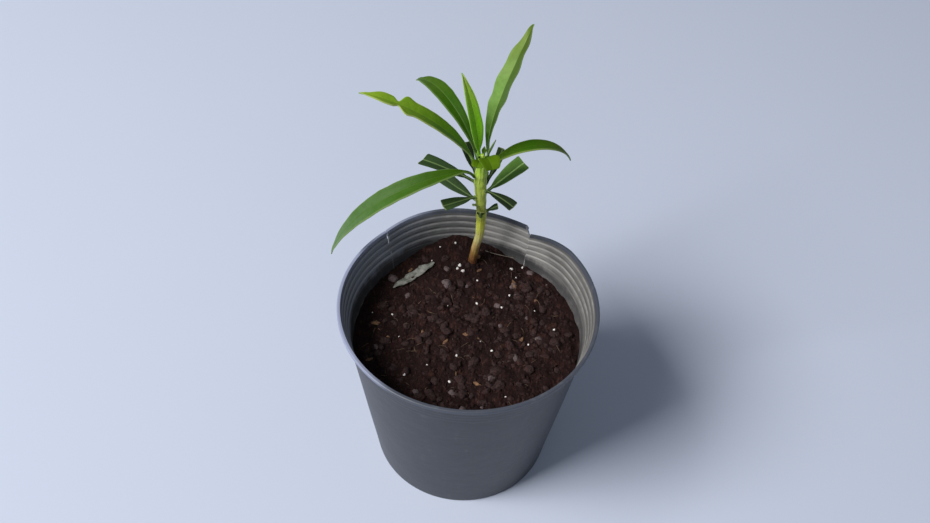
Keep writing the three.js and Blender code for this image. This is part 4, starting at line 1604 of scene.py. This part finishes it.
@dataclass
class Leaf:
    """One leaf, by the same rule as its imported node, carried to a finer skin.

    Attributes:
        name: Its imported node, or a plain name where it has none.
        level: Its height on the stem.
        heading: Where it points.
        rise: Its rise at the stalk.
        tip: Its rise at the end.
        sweep: How far it turns sideways on its way out.
        bend: How early it bends.
        stalk_lift: A steeper start.
        twist: How far the blade is turned about its own length.
        fullest: Moves its widest place.
        wave: How wavy its margins are.
        pinch: Where it is creased.
        kept: The share of the leaf that is there.
        slant: How slanted its cut end is, in millimetres.
    """

    name: str
    level: float
    heading: float
    rise: float
    tip: float
    length: float
    width: float
    tones: LeafTones
    sweep: float = 0
    bend: float = 1
    stalk_lift: float = 0
    twist: float = 0
    fullest: float = 0.9
    wave: float = 0
    pinch: float = 0
    kept: float = 1
    slant: float = 0
    form: LeafForm = field(default_factory=LeafForm)

    def half_width(self, along: Values) -> Values:
        """Half the width of the blade.

        Args:
            along: Shares of the length that is left of it.

        Returns:
            Half the width at each.
        """
        form = self.form
        blade = clamp((along * self.kept - form.stalk_share) / (1 - form.stalk_share))
        full = self.width / 2 * np.sin(math.pi * blade**self.fullest).clip(0) ** form.fullness
        if self.pinch:
            beyond = along - self.pinch
            full = full * (1 - form.pinch_depth * bell(beyond, form.pinch_reach))
            full = full * (1 + form.lobe * bell(beyond + form.lobe_back, form.lobe_reach))
            full = full * (1 + form.end_swell * bell(beyond - form.end_after, form.end_reach))
        stalk = min(form.stalk_half_width, self.width / 3)
        point = form.tip_half_width * mixed(1.0, form.tip_taper, smoothstep(along, form.point_start, 1))
        half = np.maximum(full, np.where(along < form.blade_start, stalk, point))
        if self.kept < 1:
            near = smoothstep(along * self.length, self.length - form.cut_reach, self.length)
            half = half - form.cut_round * near**2
        return half

    def foot(self, course: StemCourse) -> Values:
        """Where the stalk starts, just clear of the stretch of stem that it faces.

        Args:
            course: The stem that carries the leaf.

        Returns:
            The place.
        """
        form = self.form
        rise = math.radians(self.rise + self.stalk_lift)
        half = min(form.stalk_thick, self.width / 3) / 2
        levels = self.level + np.linspace(-1, 1, form.foot_steps) * half * abs(math.cos(rise))
        centres, faced = course.centre(levels)[0], course.radius(levels)
        x, y = (float(part) for part in course.centre(np.array(self.level)))
        out = (faced + (centres - x) * math.cos(math.radians(self.heading))).max()
        out += form.clear + half * abs(math.sin(rise))
        return np.array([x, y, 0]) + polar(np.array(self.heading), out, np.array(self.level))

    def frames(self, course: StemCourse) -> tuple[Values, list[Values]]:
        """Places along the leaf's curve with the directions sideways and upwards.

        Args:
            course: The stem that carries the leaf.

        Returns:
            The shares along the leaf, and the rows of places, sideways and upwards.
        """
        form = self.form
        along = np.linspace(0, 1, form.frame_steps + 1)
        start = self.stalk_lift * bell(along, form.stalk_lift_reach)
        rise = np.radians(mixed(self.rise, self.tip, along**self.bend) + start)
        ahead = polar(self.heading + self.sweep * along, np.cos(rise), np.sin(rise))
        level = polar(self.heading + self.sweep * along + 90, 1.0, 0.0)
        angle = self.twist * clamp(along / form.twist_reach)
        if self.pinch:
            reach = form.pinch_turn_reach
            angle = angle + form.pinch_turn * smoothstep(along, self.pinch - reach, self.pinch + reach)
        angle = np.radians(angle)[:, None]
        side = level * np.cos(angle) + np.cross(ahead, level) * np.sin(angle)
        steps = ahead[:-1] * self.length / form.frame_steps
        places = self.foot(course) + np.concatenate([np.zeros((1, 3)), np.cumsum(steps, axis=0)])
        return along, [places, side, np.cross(ahead, side)]

    def thickness(self, along: Values, across: Values, off: Values) -> Values:
        """How thick the leaf is: round at the stalk, thin in the blade, thicker at the midrib.

        Args:
            along: Shares of the length.
            across: Shares of the half width, signed.
            off: Distances from the midrib.

        Returns:
            The thickness at each.
        """
        form = self.form
        stalk_thick = min(form.stalk_thick, self.width / 3)
        stalk = stalk_thick * np.sqrt(clamp(1 - form.stalk_flat * across**2))
        rib = form.rib_thick * bell(off, form.rib_reach) * mixed(1.0, form.rib_end, along)
        blade = form.blade_thick * (1 - form.margin_thin * np.abs(across) ** form.margin_sharp) + rib
        return mixed(stalk, np.minimum(blade, stalk_thick), smoothstep(along, 0, form.stalk_reach))

    def placed(self, along: Values, across: Values, course: StemCourse) -> tuple[Values, Values]:
        """Where the corners of the middle sheet go, and how thick the leaf is there.

        Args:
            along: Shares of the length, below 0 for the root that enters the stem.
            across: Shares of the half width, signed.
            course: The stem that carries the leaf.

        Returns:
            The corners, and the thickness at each.
        """
        form, share = self.form, clamp(along)
        stops, rows = self.frames(course)
        place, side, up = (
            np.stack([np.interp(share, stops, part) for part in row.T], axis=1) for row in rows
        )
        opened, run = smoothstep(share, 0, form.stalk_reach), share * self.length
        margins = np.stack([form.uneven_gap * np.sign(across), run, 0 * share], axis=1)
        uneven = form.uneven * roughness_at(margins, form.uneven_size, self.level) * opened
        half = self.half_width(share) * (1 + uneven)
        off = np.abs(across) * half
        thick = self.thickness(share, across, off)
        spots = np.stack([across * half, run, 0 * share], axis=1)
        rolled = bell(half - off, form.roll_reach) * smoothstep(half, *form.roll_widths)
        raised = form.fold * half * np.abs(across) ** form.fold_curve
        raised += form.crinkle * roughness_at(spots, form.crinkle_size, self.level)
        raised -= form.groove * bell(off, form.groove_reach) + form.roll * rolled
        raised = (raised + (form.blade_thick - thick) / 2) * opened
        waved = smoothstep(share, form.blade_start, form.wave_full) * np.abs(across)
        raised += self.wave * np.sin(form.wave_rate * share) * waved
        slanted = self.slant * across * smoothstep(share, form.slant_start, 1)
        points = place + side * (across * half)[:, None] + up * raised[:, None]
        points += np.cross(side, up) * slanted[:, None]
        inward = polar(np.array(self.heading), np.array(1.0), np.array(form.root_rise))
        return points - inward * clamp(-along)[:, None] * form.root_length, thick

    def build(self, course: StemCourse) -> Piece:
        """Lays a grid along the leaf and thickens it into a closed blade with its stalk.

        Args:
            course: The stem that carries the leaf.

        Returns:
            The finished leaf.
        """
        form = self.form
        grid = form.long_grid if self.length > form.long_from else form.short_grid
        name = self.name if self.name.startswith("bud") else f"{self.name}_blade"
        piece, across, reached = sheet(name, grid)
        root = form.root_rows / grid[1]
        reached = reached - root
        along = np.where(reached < 0, reached / root, reached / (1 - root))
        points, thick = self.placed(along, across, course)
        share = clamp(along)
        half, run = self.half_width(share), share * self.length
        end = (1 - share) * self.length if self.kept < 1 else form.uncut + 0 * share
        note_blade(piece, across, half, run, along=share, across=across, end_mm=end)
        move_points(piece, points)
        with editing(piece):
            bpy.ops.mesh.flip_normals()
        self.thicken(piece, thick)
        return piece

    def thicken(self, piece: Piece, thick: Values) -> None:
        """Gives the sheet its thickness and notes which faces are its underside.

        Args:
            piece: The sheet.
            thick: Its thickness at each corner.
        """
        most = float(thick.max())
        group = piece.vertex_groups.new(name="thickness")
        for index, share in enumerate(thick / most):
            group.add([index], float(share), "REPLACE")
        piece.data.materials.append(None)
        piece.data.materials.append(None)
        apply_modifier(piece, "SOLIDIFY", thickness=most * MM, offset=0, vertex_group=group.name,
                       material_offset=1, use_rim=True)
        piece.vertex_groups.clear()
        below = np.zeros(len(piece.data.vertices))
        for face in piece.data.polygons:
            if face.material_index:
                below[list(face.vertices)] = 1
        note(piece, under=below)
        piece.data.polygons.foreach_set("material_index", np.zeros(len(piece.data.polygons), int))
        piece.data.materials.clear()

    def dress(self, piece: Piece, slot: Slot) -> None:
        """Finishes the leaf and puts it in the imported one's place."""
        nodes = [self.name] if self.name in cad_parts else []
        hand_over(piece, LeafSkin(f"{self.name}_skin", self.tones), slot, *nodes, smooth=55)


def toned(lit: float, base: Seen, middle: Seen, tip: Seen, rib: Seen = (118, 150, 66),
          margin: Seen = (140, 166, 96), **more: object) -> LeafTones:
    """A leaf's tones from its colours as seen.

    Args:
        lit: How much of the light reaches it.
        base: Its colour near the stalk.
        middle: Its colour half way.
        tip: Its colour at the end.
        rib: Its midrib's colour.
        margin: Its margin's colour.
        **more: Its other tones.

    Returns:
        The tones.
    """
    return LeafTones(*(seen(*colour, lit) for colour in (base, middle, tip, rib)),
                     margin=seen(*margin, lit), **more)


def whole_leaves() -> list[Leaf]:
    """Lists the whole leaves and the two short ones of the crown.

    Returns:
        The leaves, from the growing tip down.
    """
    tall = toned(1.2, (36, 68, 8), (118, 158, 74), (114, 138, 48), (126, 162, 80), margin_share=0.2,
                 pale_side=Side.RIGHT, pale_width=0.3, dark_side=Side.RIGHT, base_reach=0.18)
    young = toned(0.45, (96, 144, 26), (88, 138, 16), (96, 110, 46), (94, 134, 36))
    pinched = toned(0.5, (64, 102, 16), (63, 98, 12), (106, 132, 32), (86, 116, 34), (136, 146, 84),
                    margin_share=0.85, pale_side=Side.LEFT, pale_width=0.8)
    back = toned(1.75, (58, 102, 8), (62, 109, 12), (98, 132, 44), (98, 140, 62), (124, 158, 90),
                 margin_share=0.8, pale_side=Side.LEFT, pale_width=0.6, rib_width=0.6, gloss=0.06)
    right = toned(1.0, (84, 122, 16), (60, 108, 0), (106, 122, 36), (76, 112, 26), (132, 150, 80),
                  margin_share=0.8, pale_side=Side.RIGHT, pale_width=1.0, base_reach=0.14)
    long = toned(1.65, (68, 106, 4), (68, 117, 12), (122, 154, 108), (84, 126, 40), (140, 168, 100),
                 margin_share=0.55, pale_side=Side.LEFT, pale_width=0.9)
    crown = toned(1.1, (76, 106, 10), (82, 114, 10), (86, 118, 14), (88, 120, 30), (88, 120, 30),
                  margin_share=0.15, cut=seen(84, 114, 18, 1.1), gloss=0.08)
    grey = toned(0.8, (84, 96, 74), (96, 104, 92), (110, 112, 112), (106, 112, 100), margin_share=0.2)
    blunt = LeafForm(tip_half_width=2.3, point_start=0.97)
    return [
        Leaf("leaf_bud_side", 232, -26, 70, 74, 20, 2.8, grey),
        Leaf("leaf_young", 230.5, 135, 84, 51, 59, 10.2, young, fullest=0.76),
        Leaf("leaf_tall", 227.5, 35, 98, 31, 101, 14.4, tall, sweep=36, twist=-13, fullest=1.05, wave=0.7,
             form=LeafForm(fold=0.34)),
        Leaf("leaf_front_left", 230, 262, 62, -20, 12, 9, crown, kept=0.74),
        Leaf("leaf_front_right", 231.5, 300, 76, -52, 17, 14, crown, kept=0.8),
        Leaf("leaf_pinched", 226, 188, 66, 14, 98, 13.6, pinched, sweep=2, bend=0.8, twist=-8,
             pinch=0.735),
        Leaf("leaf_arched_left", 225, 133, 65, -39, 96, 12.2, back, sweep=-6, bend=0.85, twist=-14,
             fullest=1.2, form=blunt),
        Leaf("leaf_arched_right", 222.5, 20, 43, -66, 70, 11.2, right, sweep=4, bend=1.25, fullest=0.88),
        Leaf("leaf_long_low", 215.5, 212, 24, -73, 139, 13.8, long, sweep=-35, bend=0.7, stalk_lift=40,
             twist=-23),
    ]


def cut_leaves() -> list[Leaf]:
    """Lists the old leaves that were cut across, and the stubs below them.

    Returns:
        The leaves and stubs, from the top down.
    """
    def old(red: int, green: int, blue: int, lit: float = 1.25) -> LeafTones:
        """The tones of one old leaf.

        Args:
            red: Its seen red, from 0 to 255.
            green: Its seen green.
            blue: Its seen blue.
            lit: How much of the light reaches it.

        Returns:
            The tones.
        """
        end, under = (red + 6, green + 8, blue + 4), seen(red + 20, green + 20, blue + 12, lit)
        base, rib, margin = (red - 6, green - 8, blue - 6), (124, 152, 92), (84, 106, 64)
        return toned(lit, base, (red, green, blue), end, rib, margin, rib_width=0.85, margin_share=0.2,
                     under=under)

    return [
        Leaf("cut_leaf_back_left", 211.5, 136, 50, 60, 24, 9, old(50, 66, 42), kept=0.45, slant=0.5),
        Leaf("cut_leaf_back_right", 204, 52, 47, 70, 28, 7.4, old(46, 72, 26, 2.0), kept=0.45,
             slant=-0.4),
        Leaf("cut_leaf_left_upper", 208, 172, 20, -2, 39, 12, old(52, 76, 42, 1.45), sweep=-10, kept=0.5,
             slant=0.8),
        Leaf("cut_leaf_right_upper", 196.5, 45, 19, 16, 35, 14, old(60, 88, 36, 0.45), kept=0.5,
             slant=0.7),
        Leaf("cut_leaf_right_lower", 203.5, -36, 18, -9, 26, 9.6, old(44, 61, 36, 2.1), kept=0.48,
             slant=-0.5),
        Leaf("cut_leaf_left_middle", 189, 148, -2, 9, 31, 12.4, old(67, 91, 56, 1.2), kept=0.48,
             slant=-0.9),
        Leaf("cut_leaf_left_lower", 196.5, 218, 6, 6, 26, 11, old(62, 88, 46, 1.4), kept=0.48, slant=0.6),
        Leaf("cut_leaf_back", 192, 95, 20, 10, 20, 9, old(54, 74, 44), kept=0.42, slant=0.4),
        Leaf("stub_right", 181, 14, 34, 20, 8.5, 6.4, old(56, 72, 44), kept=0.5),
        Leaf("stub_front", 180, 272, 62, 74, 6.6, 6, old(54, 74, 22, 1.3), kept=0.4),
        Leaf("stub_left", 190, 236, 36, 24, 4.5, 3.4, old(140, 148, 96, 0.8), kept=0.4),
    ]


def bud_scales() -> list[Leaf]:
    """Lists the tiny upright leaves round the growing tip.

    Returns:
        The leaves.
    """
    tones = toned(1.4, (70, 104, 16), (74, 110, 16), (84, 118, 24), (96, 130, 40), margin_share=0.2)
    return [
        Leaf(f"bud_scale_{index}", 231.2 + index * 0.5, heading, 60, 84, length, 3.2, tones)
        for index, (heading, length) in enumerate(((85, 5.4), (205, 5), (325, 4.6)))
    ]


@dataclass
class DryLeaf:
    """The withered leaf that lies on the potting mix."""

    surface: SoilSurface
    foot: tuple[float, float] = (-33, 57)
    heading: float = 222
    length: float = 36
    width: float = 8
    curl: float = 1.6
    lift: float = 1.1
    ends: float = 0.08
    fullness: float = 0.6
    thickness: float = 0.35
    grid: tuple[int, int] = (20, 90)
    foot_end: tuple[float, float] = (-0.02, 0.08)
    tip_end: tuple[float, float] = (1.02, 0.9)
    end_width: float = 0.25
    even_width: float = 0.82
    ragged: float = 0.34
    frays: tuple[tuple[float, float, float], ...] = ((6, 3, 1), (2.2, 8, 0.7))
    fray_gap: float = 6
    rolled: float = 2.2
    rolled_from: float = 0.1
    rib_dip: float = 0.25
    rib_reach: float = 0.5
    crumples: tuple[tuple[float, float], ...] = ((7, 1.1), (2.6, 0.55))

    def build(self) -> Piece:
        """Lays a grid on the mix, curls and crumples it and gives it its thickness.

        Returns:
            The finished leaf.
        """
        piece, across, along = sheet("dry_leaf_blade", self.grid)
        outline = np.sin(math.pi * mixed(self.ends, 1 - self.ends, along)) ** self.fullness
        ends = smoothstep(along, *self.foot_end) * smoothstep(along, *self.tip_end)
        rough = np.stack([self.fray_gap * np.sign(across), self.length * along, 0 * along], axis=1)
        frayed = sum(deep * roughness_at(rough, size, seed) for size, seed, deep in self.frays)
        half = self.width / 2 * outline * mixed(self.end_width, 1, ends)
        half = half * (self.even_width + self.ragged * frayed)
        line = polar(np.array(self.heading), self.length * along, 0 * along)
        beside = polar(np.array(self.heading + 90), across * half, 0 * along)
        points = line + beside + np.array([*self.foot, 0])
        height = self.surface.plain(points[:, 0], points[:, 1])
        crumpled = sum(deep * roughness_at(points, size, size) for size, deep in self.crumples)
        rolled = self.curl + self.rolled * smoothstep(across, self.rolled_from, 1)
        curl = rolled * across**2 * half / self.width
        dip = self.rib_dip * bell(across * half, self.rib_reach)
        points[:, 2] = height + self.lift + curl + crumpled - dip
        note_blade(piece, across, half, along * self.length)
        move_points(piece, points)
        apply_modifier(piece, "SOLIDIFY", thickness=self.thickness * MM, offset=0, use_rim=True)
        return piece

    def dress(self, piece: Piece) -> None:
        """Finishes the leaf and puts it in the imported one's place."""
        hand_over(piece, WitheredLeafSkin(), Slot.DRY_LEAF, "dry_leaf", smooth=60)


@dataclass
class Studio:
    """A pale floor, soft light from the front left and the camera at the photographer's eye."""

    eye: Place = (0.0402, -0.4193, 0.6572)
    aim: Place = (-0.0079, 0.0369, 0.1546)
    roll: float = 3
    lens: float = 37.0
    near_limit: float = 0.01
    floor_size: float = 16
    sky: Colour = (0.80, 0.88, 1.0)
    sky_strength: float = 0.19

    def aimed(self, name: str, data: bpy.types.ID, place: Place) -> Piece:
        """Adds the camera or a light, aimed at the plant.

        Args:
            name: Its name.
            data: The camera's or the light's own settings.
            place: Where it stands, in metres.

        Returns:
            The camera or light.
        """
        item = linked(name, data)
        turn = (Vector(self.aim) - Vector(place)).to_track_quat("-Z", "Y")
        item.matrix_world = Matrix.Translation(place) @ turn.to_matrix().to_4x4()
        return item

    def set_camera(self) -> None:
        """Sets up the camera, looking down at the pot with a slight roll."""
        lens = bpy.data.cameras.new("camera")
        lens.lens, lens.clip_start = self.lens, self.near_limit
        camera = self.aimed("camera", lens, self.eye)
        camera.matrix_world = camera.matrix_world @ Matrix.Rotation(math.radians(self.roll), 4, "Z")
        bpy.context.scene.camera = camera

    def add_light(self, name: str, place: Place, size: float, power: float, tint: Colour) -> None:
        """Adds a soft square light that faces the plant.

        Args:
            name: Its name.
            place: Where it stands, in metres.
            size: Its side in metres.
            power: Its power in watts.
            tint: Its colour.
        """
        lamp = bpy.data.lights.new(name, "AREA")
        lamp.size, lamp.energy, lamp.color = size, power, tint
        self.aimed(name, lamp, place)

    def build(self) -> None:
        """Lays the floor and sets the sky, the lights and the camera."""
        floor = primitive("floor", bpy.ops.mesh.primitive_plane_add, size=self.floor_size)
        floor.data.materials.append(FloorFinish().make())
        world = bpy.data.worlds.new("sky")
        world.use_nodes = True
        background = world.node_tree.nodes["Background"]
        background.inputs["Color"].default_value = (*self.sky, 1)
        background.inputs["Strength"].default_value = self.sky_strength
        scene = bpy.context.scene
        scene.world = world
        scene.view_settings.view_transform, scene.view_settings.look = "Standard", "None"
        self.add_light("key_light", (-2.4, -1.4, 3.0), 1.9, 208, (1.0, 0.97, 0.93))
        self.add_light("front_light", (0.5, -3.2, 2.2), 1.8, 9, (0.95, 0.97, 1.0))
        self.set_camera()


def main() -> None:
    """Builds and dresses every sub-assembly in order."""
    logging.basicConfig(level=logging.INFO, format="%(name)s: %(message)s")
    wall, surface, course = PotWall(), SoilSurface(), StemCourse()
    fresh, old = whole_leaves(), cut_leaves()
    for part in (Pot(wall), SoilBed(wall, surface), Stem(course, fresh + old)):
        part.dress(part.build())
    for leaf in fresh + bud_scales():
        leaf.dress(leaf.build(course), Slot.LEAF)
    for leaf in old:
        leaf.dress(leaf.build(course), Slot.OLD_LEAF)
    dry = DryLeaf(surface)
    dry.dress(dry.build())
    Studio().build()


if __name__ == "__main__":
    main()
